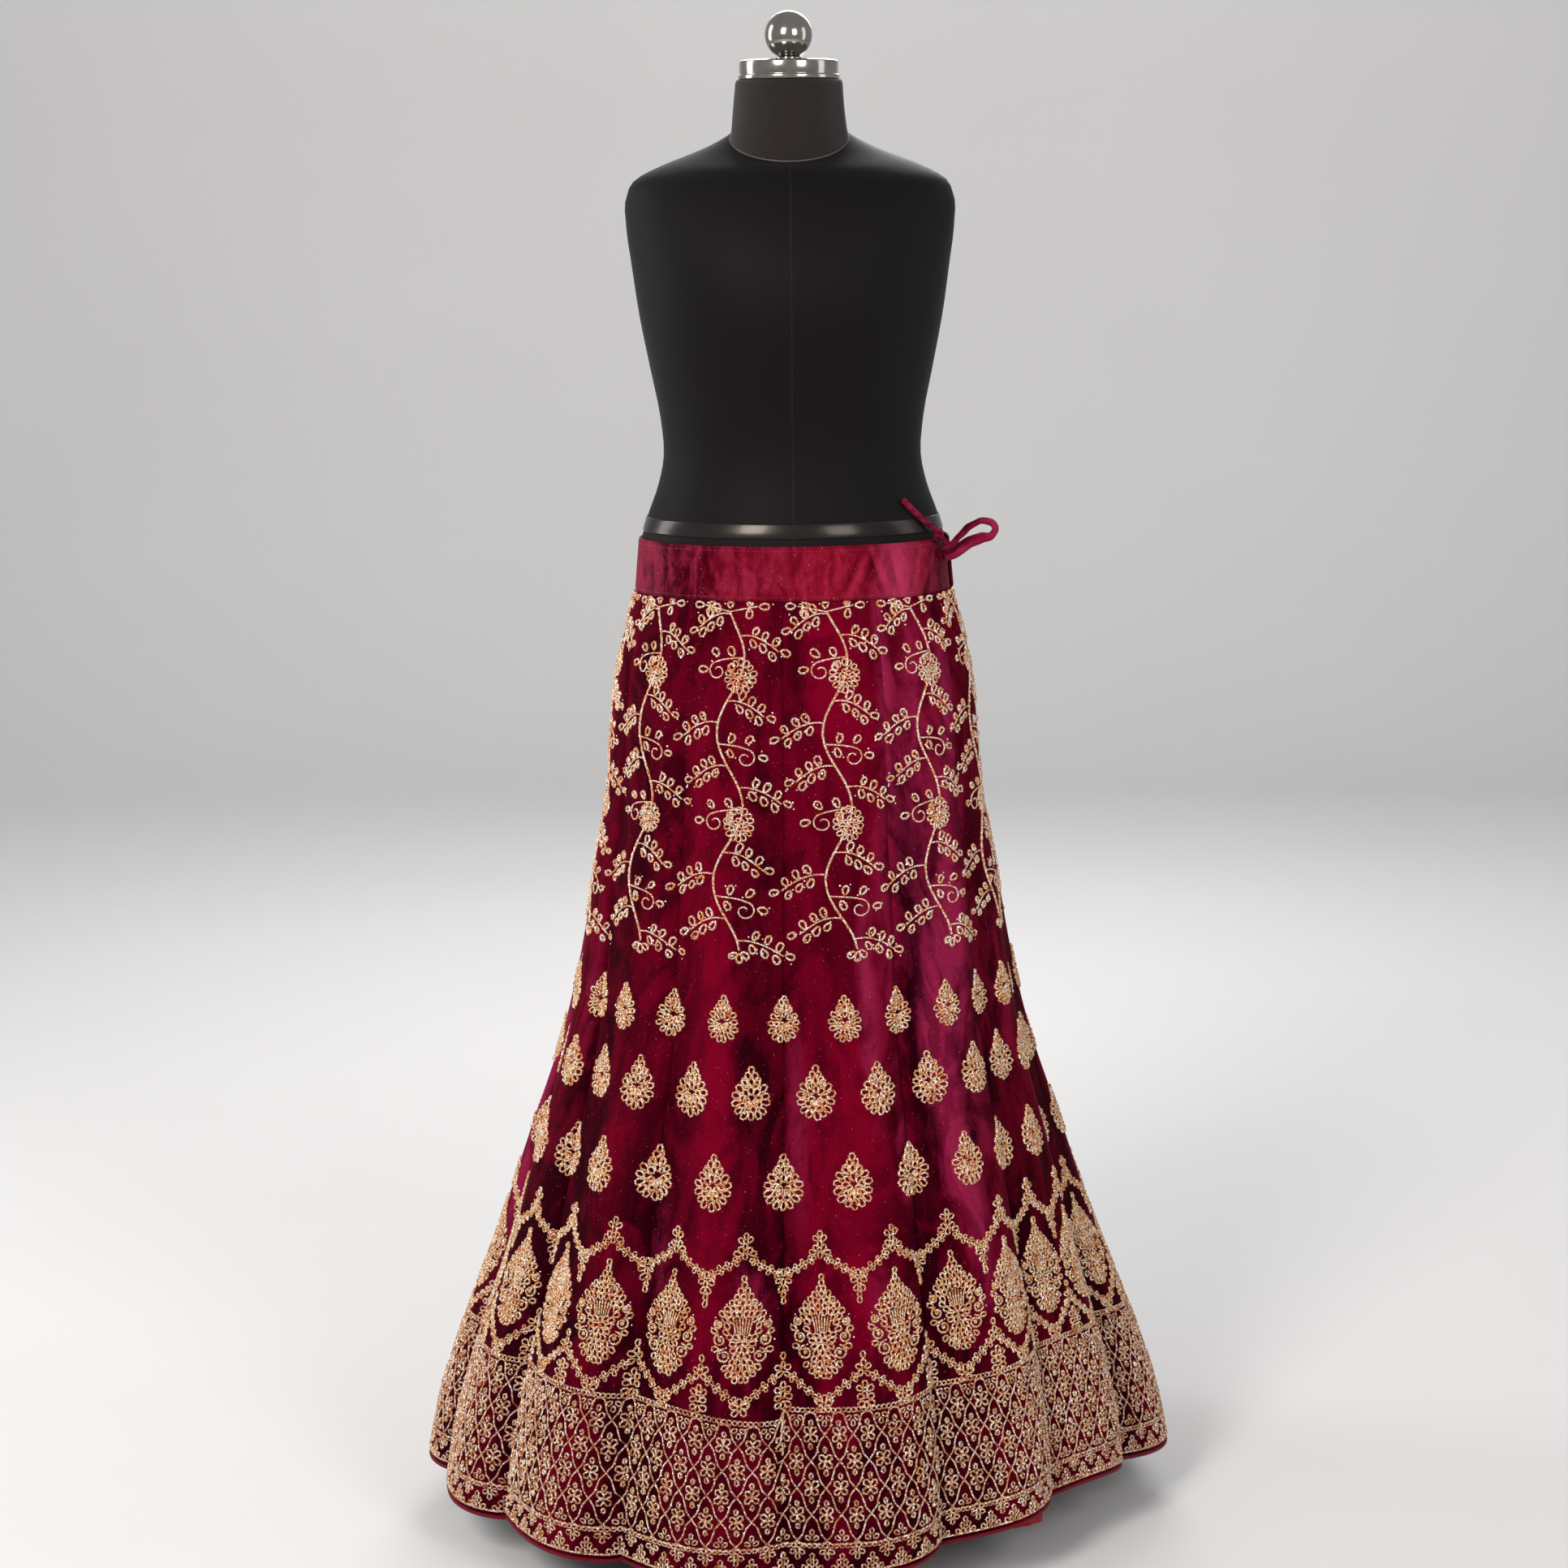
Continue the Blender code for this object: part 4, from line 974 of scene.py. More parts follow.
top = stem_across(10)
foot = stem_across(VINE_FOOT)
STEMS = [[(stem_across(drop), drop) for drop in np.linspace(10, VINE_FOOT, 30)]]
TWIGS = [[(top, 10), (top + side * 14, 7), (top + side * 30, 4)] for side in (-1, 1)]
LEAVES = [(top + side * 22, drop, heading) for side in (-1, 1) for drop, heading in ((12, -90), (0.5, 90))]
LEAVES += [(top + side * 37, 4, 90 - side * 90) for side in (-1, 1)] + [(top, 1.5, 90)]
LEAVES += [(foot + side * 5.5, VINE_FOOT + 5, -90 + side * 60) for side in (-1, 1)]
LEAVES += [(foot, VINE_FOOT + 8, -90)]
for n, drop in enumerate(TWIG_DROPS):
    side = 1 if n % 2 else -1
    if n % 3 == 2:
        twig, leaves = curled_twig(stem_across(drop), drop, side)
    else:
        twig, leaves = leafy_twig(stem_across(drop), drop, side, 36 + 4 * math.sin(2.1 * n))
    TWIGS.append(twig)
    LEAVES += leaves
WREATHS = [(stem_across(drop), drop, 30, 34) for drop in FLOWER_DROPS]
WREATH_LOOPS = 14
VINE_KALI = 0.1  # the loops are drawn for a kali this wide, and shrink in the narrower ones

vines = Drawing()
vine_grow = np.clip(kali_width(EVERY_KALI, 0.1) / VINE_KALI, 0.66, 1.0)
for stem in STEMS:
    vines.line(stem, EVERY_KALI, wide=0.0032, high=0.0018)
for twig in TWIGS:
    vines.line(twig, EVERY_KALI, wide=0.0023)
for x, drop, heading in LEAVES:
    vines.motif(loops((0, 0), [heading], 9.6, 7.6), EVERY_KALI + x / 100, drop, grow=vine_grow, wander=0.4,
                wide=0.0031, high=0.0020)
for x, drop, width, height in WREATHS:
    shape = (width / height, 1.0)
    outer = petals(WREATH_LOOPS, height / 2 - 2.8, 7.0, 6.0, squash=shape)
    lower = petals(7, height / 2 - 8.0, 5.0, 4.6, start=170, span=200, squash=shape, points=7)
    inner = petals(5, 3.4, 4.8, 4.6, start=100, middle=(0, 1.2), points=7)
    for shapes in (outer, lower, inner):
        vines.motif(shapes, EVERY_KALI + x / 100, drop, grow=vine_grow, wander=0.35,
                    wide=0.0025, high=0.0019)
raise_cords("zari_vines", vines, zari_pink_gold)

# %% [markdown]
# ## The buttas
# Three rows of small sprigs lie between the vines and the border. Each is a pointed drop: loops
# stacked one, two and three below its tip, a ring of loops round its belly, a smaller ring inside
# that and five little loops at its heart. One function draws all three sizes.

# %% The buttas
def rows_of_loops(rows, length, width, spread):
    """Rows of (up, count, spacing): loops that point up, fanned out by spread degrees a millimetre."""
    shapes = []
    for up, count, spacing in rows:
        x = (np.arange(count) - (count - 1) / 2) * spacing
        towards = 90 - x * spread if up >= 0 else -90 + x * spread
        shapes.append(loops(np.stack([x, np.full(count, up)], axis=-1), towards, length, width, 7))
    return np.concatenate(shapes)


def butta(width, height, round_count):
    """A round belly of two rings of petals, bare just over its heart, under a small cone of loops."""
    belly = height * 0.78
    low = -(height - belly) / 2
    size = width * 0.185
    squash = (width / belly, 1.0)
    cone = [(height / 2 - size * (0.55 + 0.82 * row), row + 1, size * 0.92) for row in range(3)]
    tip = rows_of_loops(cone, size * 1.12, size * 0.98, 2.5)
    outer = petals(round_count, belly / 2 - size * 0.60, size * 1.30, size * 1.02, middle=(0, low),
                   squash=squash, points=7)
    inner = petals(round_count - 5, belly / 2 - size * 1.66, size * 1.10, size * 0.98, middle=(0, low),
                   squash=squash, points=7)
    heart = petals(5, size * 0.66, size * 0.95, size * 0.86, start=180, span=180,
                   middle=(0, low - size * 0.12), points=7)
    return np.concatenate([tip, outer, inner, heart])


ButtaRow = namedtuple("ButtaRow", "drop turns width height count")
BUTTA_ROWS = (
    ButtaRow(421, HALF_KALIS, 30, 47, 13),
    ButtaRow(494, QUARTERS, 37, 53, 14),
    ButtaRow(581, HALF_KALIS, 38, 54, 14),
)
buttas = Drawing()
for row in BUTTA_ROWS:
    buttas.motif(butta(row.width, row.height, row.count), row.turns, row.drop, wander=0.45,
                 wide=0.0030, high=0.0022)
raise_cords("zari_buttas", buttas, zari_gold)

# %% [markdown]
# ## The ogees
# The largest motif is an ogee, a tall leaf with a drawn-out tip. Rows of small loops that point
# away from its heart fill its outline. Down each flank lie three scrolls with a bead inside, and
# a fan of straight stitches stands at the heart. Scrolls and fan are drawn once and mirrored.

# %% The ogees
def mirrored(shapes):
    shapes = as_group(shapes)
    return np.concatenate([shapes, shapes * [-1, 1]])


OGEE_DROP = 719
ogee_share = np.linspace(0, 1, 41)  # from its tip down to its foot
OGEE_OUTLINE = np.stack([  # height up from the middle and half width there, in millimetres
    50 - 100 * ogee_share, 31 * np.sin(math.pi * ogee_share ** 1.27) ** (1.5 - 0.9 * ogee_share),
], axis=-1)[::-1]
OGEE_ROWS = (46.0, 40.4, 35.0, 29.6, 24.2, 18.8, 13.4, 8.0, 2.4,
             -3.2, -8.8, -14.4, -20.0, -25.6, -31.2, -36.8, -42.2, -47.0)
OGEE_SCROLLS = (  # x, up, radius, start and sweep in degrees
    (24.0, 3.6, 4.4, 80, -400), (22.0, -11.0, 6.0, 80, -400), (16.8, -25.6, 7.0, 90, -400),
)
FAN_TOP, FAN_FOOT, FAN_HALF = 9.0, -5.0, 11.0


def filled(outline, rows, spacing, length, width):
    """Loops evenly across each row of an outline, but none on the fan or a scroll; they point outward."""
    shapes = []
    for up in rows:
        half = max(0.0, float(np.interp(up, outline[:, 0], outline[:, 1])) - width / 2 + 0.2)
        count = int(round(2 * half / spacing)) + 1
        x = np.linspace(-half, half, count) if count > 1 else np.zeros(1)
        free = (np.abs(x) > FAN_HALF) | (up > FAN_TOP + 1) | (up < FAN_FOOT)
        for scroll_x, scroll_up, radius, _, _ in OGEE_SCROLLS:
            free &= np.hypot(np.abs(x) - scroll_x, up - scroll_up) > radius + 2.0
        x = x[free]
        if len(x):
            centres = np.stack([x, np.full(len(x), up)], axis=-1)
            headings = np.degrees(np.arctan2(up + 12.0 + np.abs(x) * 0.2, x * 1.3))
            shapes.append(loops(centres, headings, length, width, 7))
    return np.concatenate(shapes)


ogees = Drawing()
shield = filled(OGEE_OUTLINE, OGEE_ROWS, 5.9, 6.6, 5.9)
ogees.motif(shield, QUARTERS, OGEE_DROP, wander=0.42, wide=0.0029, high=0.0022)
for x, up, radius, start, swept in OGEE_SCROLLS:
    ogees.motif(mirrored(scroll((x, up), radius, start, swept, 0.50, 12)), QUARTERS, OGEE_DROP, closed=False,
                wide=0.0030, high=0.0022)
    ogees.motif(mirrored(oval_ring(2.6, 2.6, 5) + [x, up]), QUARTERS, OGEE_DROP, wide=0.0030, high=0.0024)
for x in (0, 3.2, 6.4, 9.6):
    stitch = np.array([(x * 0.66, -6.0), (x * 0.82, 2.0), (x, 10.5 - x * 0.30)])
    shapes = stitch[None] if x == 0 else mirrored(stitch)
    ogees.motif(shapes, QUARTERS, OGEE_DROP, closed=False, wide=0.0024, high=0.0019)
raise_cords("zari_ogees", ogees, zari_gold)
print("loops in an ogee:", len(shield))

# %% [markdown]
# ## The garlands
# Two garlands of little four-petalled flowers zigzag round the skirt, one over the ogees and one
# under them. The upper one rises over each ogee to a fleur and falls to a pendant between them.
# The lower one rises between the ogees, with a sprig under each peak, and comes down to a flower
# on the border.

# %% The garlands
UPPER_PEAK, UPPER_VALLEY = 650, 673
LOWER_PEAK, LOWER_VALLEY = 761, 792
SPRIG_DROP = 789
ARM_SHARES = (0.24, 0.44, 0.64, 0.84)  # where an arm's flowers sit between its peak and its valley


def flower(size, start=45.0):
    return petals(4, size * 0.26, size * 0.48, size * 0.42, start=start, points=7)


def garland(drawing, peaks, peak_drop, valley_drop, size):
    """Flowers along the straight arms between each peak and the valleys on both sides."""
    share = np.array(ARM_SHARES)
    for way in (-1, 1):
        turns = (peaks[:, None] + way * 0.25 * share[None, :]).ravel()
        drops = np.tile(peak_drop + (valley_drop - peak_drop) * share, len(peaks))
        drawing.motif(flower(size, 45 + 20 * way), turns, drops, wander=0.35, wide=0.0022, high=0.0018)


garlands = Drawing()
garland(garlands, QUARTERS, UPPER_PEAK, UPPER_VALLEY, 9.6)
garland(garlands, HALF_KALIS, LOWER_PEAK, LOWER_VALLEY, 9.6)
fleur = loops([(0, 17), (-4, 12.5), (4, 12.5), (0, 7), (-4, 3), (4, 3), (-7.4, -0.5), (7.4, -0.5),
               (0, -2.5)],
              [90, 140, 40, 90, 115, 65, 165, 15, -90], 6.8, 5.6, 7)
low_fleur = loops([(0, 12.5), (0, 4.5), (-4.6, 1.5), (4.6, 1.5), (-4, -4.5), (4, -4.5)],
                  [90, 90, 150, 30, 215, -35], 6.8, 5.8, 7)
pendant = loops([(-5.2, 6.5), (0, 7.5), (5.2, 6.5), (-4.8, 0.5), (4.8, 0.5), (0, -1), (-2.8, -7), (2.8, -7),
                 (0, -13.5), (0, -19)],
                [150, 90, 30, 195, -15, -90, 240, -60, -90, -90], 6.6, 5.4, 7)
valley_flower = loops([(0, 5), (-5.2, 1.5), (5.2, 1.5), (-3.4, -4.5), (3.4, -4.5)],
                      [90, 160, 20, 235, -55], 7.6, 6.4, 7)
sprig = loops([(0, 12.5), (-5.2, 9), (5.2, 9), (-5.4, 2), (5.4, 2), (0, 3.5), (-5.2, -5), (5.2, -5),
               (0, -6)],
              [90, 145, 35, 180, 0, 90, 200, -20, -90], 7.0, 6.2, 7)
for shapes, turns, drop in (
    (fleur, QUARTERS, UPPER_PEAK - 2),
    (low_fleur, HALF_KALIS, LOWER_PEAK),
    (pendant, HALF_KALIS, UPPER_VALLEY + 4),
    (valley_flower, QUARTERS, LOWER_VALLEY + 1),
    (sprig, HALF_KALIS, SPRIG_DROP),
):
    garlands.motif(shapes, turns, drop, wander=0.35, wide=0.0026, high=0.0020)
raise_cords("zari_garlands", garlands, zari_gold)

# %% [markdown]
# ## The netted border
# The border is a net of crossing cords with a small flower in every mesh, held between two rows of
# tiny rings. The crossing cords are drawn as waves whose crests touch, so that each mesh is a
# pointed oval. Below the lower row, trefoils hang down and little pyramids stand on the hem's cord.

# %% The netted border
CELLS = 6  # meshes across a kali
NET_TOP, NET_BOTTOM = 802, 926
LEVEL_STEP = 25.4
LEVELS = 796.6 + LEVEL_STEP * np.arange(6)  # drops at which the cords cross or lie furthest apart
RINGS_A_KALI = 33
DIP, DIP_KALI = 11.0, 13  # in the last kali the border sits lower towards the front seam
HEM_CORD_DROP = 953.0


def sagging(drawing, top=NET_TOP, bottom=NET_BOTTOM):
    """The strokes moved down where the border dips: most at its top line, not at all at its bottom one."""
    moved = []
    for turn, fall, closed, wide, high in drawing.layers:
        across = np.mod(turn, KALIS_ROUND) - DIP_KALI
        share = np.where((across > 0) & (across < 0.999), ease((across - 0.25) / 0.75), 0.0)
        height = np.clip((bottom - fall * CLOTH_MM) / (bottom - top), 0, 1)
        moved.append((turn, fall + share * height * DIP / CLOTH_MM, closed, wide, high))
    drawing.layers = moved


border = Drawing()
cell_turns = np.arange(KALIS_ROUND * CELLS) / CELLS
share = np.linspace(0.0, 1.0, 5)
for level, top in enumerate(LEVELS):
    for way in (-1, 1):
        aside = way * (0.5 * share + 0.055 * np.sin(2 * math.pi * share)) / CELLS
        turns = cell_turns[:, None] + 0.5 * (level % 2) / CELLS + aside[None, :]
        drops = np.clip(top + share * LEVEL_STEP, NET_TOP - 1, NET_BOTTOM + 1)
        border.add(turns, np.broadcast_to(drops / CLOTH_MM, turns.shape), False, wide=0.0024, high=0.0015)
ring_turns = np.arange(KALIS_ROUND * RINGS_A_KALI) / RINGS_A_KALI
for drop in (NET_TOP - 3, NET_BOTTOM + 2):
    border.motif(oval_ring(4.8, 4.4, 6), ring_turns, drop, wide=0.0022, high=0.0016)
sagging(border)
raise_cords("zari_net", border, zari_bronze)

net_flowers = Drawing()
mesh_flower = np.concatenate([petals(4, 4.6, 8.0, 6.8, start=45, points=6),
                              loops([(0, 10.8), (0, -10.8)], [90, -90], 5.2, 4.4, 6)])
for level, drop in enumerate(LEVELS[1:5], start=1):
    net_flowers.motif(mesh_flower, cell_turns + 0.5 * ((level + 1) % 2) / CELLS, drop, wander=0.3,
                      wide=0.0031, high=0.0022)
half_flower = loops([(0, -9.5), (-4.0, -4.2), (4.0, -4.2)], [-90, 215, -35], 6.0, 5.0, 6)
net_flowers.motif(half_flower, cell_turns + 0.5 / CELLS, NET_TOP, wide=0.0024, high=0.0016)
net_flowers.motif(half_flower * [1, -1], cell_turns, NET_BOTTOM - 1, wide=0.0024, high=0.0016)
sagging(net_flowers)
raise_cords("zari_net_flowers", net_flowers, zari_bronze)

hem_work = Drawing()
trefoil = loops([(0, -5.6), (-4.4, -1.2), (4.4, -1.2), (0, 0.6)], [-90, 200, -20, -90], 6.4, 5.4, 6)
hem_work.motif(trefoil, cell_turns + 0.5 / CELLS, NET_BOTTOM + 7, wide=0.0025, high=0.0018)
pyramid = loops([(0, 6.6), (-3.2, 1.0), (3.2, 1.0), (-8.2, -4.6), (-2.7, -4.6), (2.7, -4.6), (8.2, -4.6)],
                [90, 110, 70, 130, 95, 85, 50], 6.0, 5.2, 6)
hem_work.motif(pyramid, cell_turns, 945.5, wide=0.0025, high=0.0018)
hem_cord_turns = np.linspace(0, KALIS_ROUND, KALIS_ROUND * 24, endpoint=False)[None, :]
hem_work.add(hem_cord_turns, np.full_like(hem_cord_turns, HEM_CORD_DROP / CLOTH_MM), True,
             wide=0.0026, high=0.0016)
raise_cords("zari_hem_work", hem_work, zari_bronze)

# %% [markdown]
# ## Sequins
# Between the cords the workers scatter tiny cupped sequins, a few in every motif and a light dust
# of them down the vines. Each is a four-sided stud, pressed to the velvet with its own small tilt,
# and all of them are one mesh. Their places come from the drawing: beside leaves, in the buttas
# and ogees, and in the meshes of the net.

# %% Sequins
SEQUIN = 0.0010  # radius
SEQUIN_HIGH = 0.0008
BUTTA_SEQUINS = (  # share of the width across, share of the height up
    (0.0, -0.2), (0.30, -0.12), (-0.30, -0.12), (0.20, 0.15), (-0.20, 0.15), (0.12, -0.42), (-0.14, -0.36),
    (0.05, 0.32), (0.36, 0.04), (-0.36, 0.02),
)
OGEE_SEQUINS = (  # millimetres across and up
    (0, 28), (6, 17), (-6, 17), (17, 23), (-17, 23), (26, -6), (-26, -6), (21, -23), (-21, -23), (0, -31),
    (9, -38), (-9, -38), (27, 10), (-27, 10), (3, 38), (-4, 30), (11, 24), (-12, 12), (31, -12), (-31, 0),
    (14, -12), (-15, -18), (6, -22), (-5, -46), (17, -34), (-18, -30),
)

spangle = Finish("spangle", Metallic=0.55, Specular_IOR_Level=0.9)
glint = spangle.noise(spangle.place(), 700.0, 1.0)
champagne = spangle.blend(spangle.between(glint, 0.35, 0.65), (0.86, 0.74, 0.58), (1.0, 0.97, 0.92))
spangle.feed(Base_Color=champagne, Roughness=0.12 + glint * 0.25)

chance = np.random.default_rng(14)
on_leaves = np.array(LEAVES, float)[:, :2]
near_leaves = np.concatenate([on_leaves + chance.normal(0, (3.2, 3.6), on_leaves.shape) for _ in range(2)])
vine_turns = EVERY_KALI[:, None] + near_leaves[None, :, 0] / 100
vine_drops = np.broadcast_to(near_leaves[None, :, 1], vine_turns.shape)
places = [(vine_turns.ravel(), vine_drops.ravel())]
for row in BUTTA_ROWS:
    for x, up in BUTTA_SEQUINS:
        aside = x * row.width / 1000 / kali_width(row.turns, row.drop / CLOTH_MM)
        places.append((row.turns + aside, np.full(len(row.turns), row.drop - up * row.height)))
for x, up in OGEE_SEQUINS:
    aside = x / 1000 / kali_width(QUARTERS, OGEE_DROP / CLOTH_MM)
    places.append((QUARTERS + aside, np.full(len(QUARTERS), OGEE_DROP - up)))
for level, drop in enumerate(LEVELS[1:5], start=1):
    row_turns = cell_turns + 0.5 * ((level + 1) % 2) / CELLS
    for aside, down in ((0.0, 0.0), (0.25 / CELLS, 12.0), (-0.25 / CELLS, -9.0)):
        places.append((row_turns + aside, np.full(len(row_turns), drop + down)))
at_turn, at_drop = np.concatenate([np.stack(place) for place in places], axis=1)
at_turn = np.mod(at_turn + chance.normal(0, 0.002, len(at_turn)), KALIS_ROUND)
at_fall = np.clip(at_drop / CLOTH_MM, 0.002, 0.995)
middle, up = skirt_surface(at_turn, at_fall), skirt_normal(at_turn, at_fall)
up = unit(up + chance.normal(0, 0.22, up.shape))
first = unit(np.cross(up, (0.0, 0.0, 1.0)))
second = np.cross(up, first)
spin = full_circle(4)[None, :, None]
ring = SEQUIN * (np.cos(spin) * first[:, None] + np.sin(spin) * second[:, None])
sequin_points = np.concatenate([(middle + up * SEQUIN_HIGH)[:, None], (middle + up * 0.0003)[:, None] + ring,
                                (middle - up * SINK)[:, None]], axis=1)
base = (np.arange(len(at_turn)) * 6)[:, None, None]
c = np.arange(4)
facets = np.concatenate([np.stack([c * 0, c + 1, (c + 1) % 4 + 1], axis=-1),
                         np.stack([c * 0 + 5, (c + 1) % 4 + 1, c + 1], axis=-1)])
add_piece("sequins", sequin_points, np.zeros((0, 4), np.int32), spangle.material, "zari", smooth=False,
          triangles=(facets[None] + base).reshape(-1, 3))
print("sequins:", len(at_turn), "triangles", pieces_made[-1][1])

# %% [markdown]
# ## Satin
# The waistband and the ties are crimson satin. Satin's threads float one way, so its light runs in soft
# clouds and bands, and every little pull across it shows. The colour follows two values kept on the points,
# one of painted light and shade and one of painted rose highlight, with slow and cloudy noise over both that
# adds painted sheen in clouds.

# %% Satin
def satin_finish(name, deep, bright, rosy_light):
    """Satin whose colour follows the painted light on its points: painted shade deep in a trough, bright,
    then painted rose highlights.
    """
    made = Finish(name, Specular_IOR_Level=0.03, Specular_Tint=(1.0, 0.15, 0.25, 1.0), Sheen_Weight=0.06,
                  Sheen_Roughness=0.3, Sheen_Tint=(1.0, 0.10, 0.25, 1.0))
    lie = made.lie("lie")
    floats = made.noise(made.stretched(lie, 140.0, 1700.0), 1.0, 2.0)
    slow = made.noise(made.stretched(lie, 26.0, 16.0), 1.0, 3.0, 0.6, 1.0)
    dust = made.noise(lie, 520.0, 1.0)
    cloud = made.noise(made.stretched(lie, 70.0, 30.0), 1.0, 4.0, 0.65, 1.8)
    # Painted light: this noise is cloudy painted sheen, added to the painted lit and rose values.
    sheen_clouds = slow * 0.6 + cloud * 0.7 - 0.65
    lit = made.painted("lit") * 0.85 + sheen_clouds * 1.1 + 0.08
    shade = made.blend(lit.clamped(), deep, bright)
    rose_highlight = made.painted("rose_highlight") * 0.75 + sheen_clouds * 1.4 + 0.06
    shade = made.blend(rose_highlight.clamped() * 0.9, shade, rosy_light)
    shade = made.blend(made.between(dust, 0.73, 0.78) * 0.5, shade, (0.7, 0.36, 0.32))
    made.feed(Base_Color=shade, Roughness=0.38 + slow * 0.14,
              Normal=made.bump(floats * 0.5 + slow, 0.0005, 0.5))
    return made.material


satin = satin_finish("band_satin", (0.040, 0.0004, 0.0045), (0.225, 0.0045, 0.0180), (0.330, 0.026, 0.075))
tie_satin = satin_finish("tie_satin", (0.050, 0.001, 0.007), (0.170, 0.006, 0.026), (0.250, 0.018, 0.058))
print("satin finishes:", satin.name, tie_satin.name)

# %% [markdown]
# ## The waistband
# The band is a strip of stiffened satin that starts behind the side opening, goes round the back
# and the front, and ends in a slant before the opening. Its top and bottom edges are rolled, a
# row of stitching runs under each, and short slanted pulls cross it where it is drawn tight.

# %% The waistband
BAND_CLOTH = 0.0030
UNDERLAP_CLOTH = 0.0012
CLEAR = 0.0003
BAND_BOTTOM_REACH = (0.1634, 0.1248, 0.1288)  # half width, front, back
BAND_TOP_REACH = (0.1586, 0.1202, 0.1242)
UNDERLAP_SPAN = (math.radians(45.0), math.radians(97.5))
LIFT_RAMP = math.radians(15.0)
BAND_RADIUS = 0.143  # mean, for turning degrees into millimetres
BAND_BACK_END, BAND_FRONT_END = (84.0, 90.0), (63.0, 52.3)  # degrees at the top and at the bottom
BAND_WIDTH = 0.055
STITCH_LINE = 0.0045  # in from each edge
# A trough across the band: degrees round, then millimetres down, long, wide and deep.
BandPull = namedtuple("BandPull", "degrees down length width depth lean")
BAND_PULLS = tuple(BandPull(*row) for row in (
    (-19, 22, 44, 3.4, 1.0, 0.12), (-10, 34, 30, 2.6, 0.8, -0.25), (1, 26, 50, 2.6, 1.1, -0.35),
    (10, 36, 26, 3.0, 0.9, 0.10), (15, 20, 40, 2.4, 1.1, -0.10), (22, 30, 50, 2.6, 1.3, -0.45),
    (27, 24, 46, 2.4, -0.9, -0.5), (31, 22, 50, 2.6, 1.5, 0.30), (35, 34, 34, 2.2, -0.9, 0.10),
    (39, 26, 56, 2.6, 1.5, 0.22), (49, 30, 40, 3.0, 1.0, -0.3), (-40, 26, 40, 4.0, 0.9, -0.2),
    (-30, 30, 50, 2.6, 1.0, 0.3), (-52, 24, 36, 3.0, 0.8, 0.2), (-62, 24, 44, 4.0, 0.9, 0.1),
    (-85, 30, 40, 3.6, 0.9, -0.1), (-112, 26, 44, 4.2, 1.0, 0.15), (-98, 24, 40, 3.0, 0.9, 0.3),
    (-135, 22, 40, 3.8, 0.9, -0.2), (-160, 28, 44, 4.0, 0.9, 0.1), (172, 26, 40, 4.0, 0.9, -0.1),
    (150, 22, 44, 3.6, 1.0, 0.2), (128, 28, 40, 4.0, 0.9, -0.3), (106, 26, 38, 3.4, 1.0, -0.4),
))


def oval(angle, half_width, front, back):
    """(x, y) round an oval that is deeper or shallower in front than behind."""
    depth = np.where(np.cos(angle) > 0, front, back)
    return half_width * np.sin(angle), -depth * np.cos(angle)


def wrapped(angle):
    """The same angle between -pi and pi."""
    return np.mod(angle + math.pi, 2 * math.pi) - math.pi


def band_end(degrees, share_down):
    """Angle of a slanted end of the band, evenly from its top to its bottom."""
    top, bottom = degrees
    return math.radians(top) + math.radians(bottom - top) * share_down


def band_point(angle, height, outward=0.0, lapped=True):
    """A point of the band's face; it stands off by the underlap's thickness where the two overlap."""
    share = (height - WAIST_SEAM) / (BAND_TOP - WAIST_SEAM)
    reach = [low + (high - low) * share for low, high in zip(BAND_BOTTOM_REACH, BAND_TOP_REACH)]
    start, end = UNDERLAP_SPAN
    near = wrapped(angle)
    rising = ease((near - start + LIFT_RAMP) / LIFT_RAMP) * ease((end + LIFT_RAMP - near) / LIFT_RAMP)
    extra = outward + (UNDERLAP_CLOTH + 2.5 * CLEAR) * rising * lapped
    x, y = oval(angle, *(side + extra for side in reach))
    return np.stack([x, y, np.broadcast_to(height, x.shape)], axis=-1)


def pull_field(angle, height, pulls):
    """Sum of depth * exp(-(across/width)^2) * exp(-(down/half length)^2), across turned by the lean."""
    total = np.zeros(np.broadcast(angle, height).shape)
    for pull in pulls:
        across = wrapped(angle - math.radians(pull.degrees)) * BAND_RADIUS * 1000
        down = (BAND_TOP - height) * 1000 - pull.down
        leaned = (across - pull.lean * down) / math.hypot(1, pull.lean)
        fading = np.exp(-((leaned / pull.width) ** 2) - (down / (0.5 * pull.length)) ** 2)
        total = total - pull.depth / 1000 * fading
    return total


BAND_COLUMNS, BAND_ROWS = 264, 20
share_down = np.linspace(0, 1, BAND_ROWS + 1)[:, None]
band_height = BAND_TOP - (BAND_TOP - WAIST_SEAM - CLEAR / 2) * share_down
back_end = band_end(BAND_BACK_END, share_down)
front_end = 2 * math.pi + band_end(BAND_FRONT_END, share_down)
band_angle = back_end + (front_end - back_end) * np.linspace(0, 1, BAND_COLUMNS + 1)[None]
band_height = np.broadcast_to(band_height, band_angle.shape)
from_edge = np.minimum(share_down, 1 - share_down) * BAND_WIDTH
rolled = -0.0009 * (1 - ease(from_edge / 0.0022))
dents = np.exp(-(((from_edge - STITCH_LINE) / 0.0008) ** 2)) * 0.0003
face = pull_field(band_angle, band_height, BAND_PULLS) * ease(from_edge / 0.004) + rolled - dents
band_outer = band_point(band_angle, band_height, face)
band_inner = band_point(band_angle, band_height, -BAND_CLOTH + 0.0004)
band_uv = np.stack([band_angle * BAND_RADIUS, band_height], axis=-1)
points, quads, corner_uv = wall(band_outer, band_inner, band_uv)
band_degrees = np.mod(np.degrees(band_angle) + 180, 360) - 180
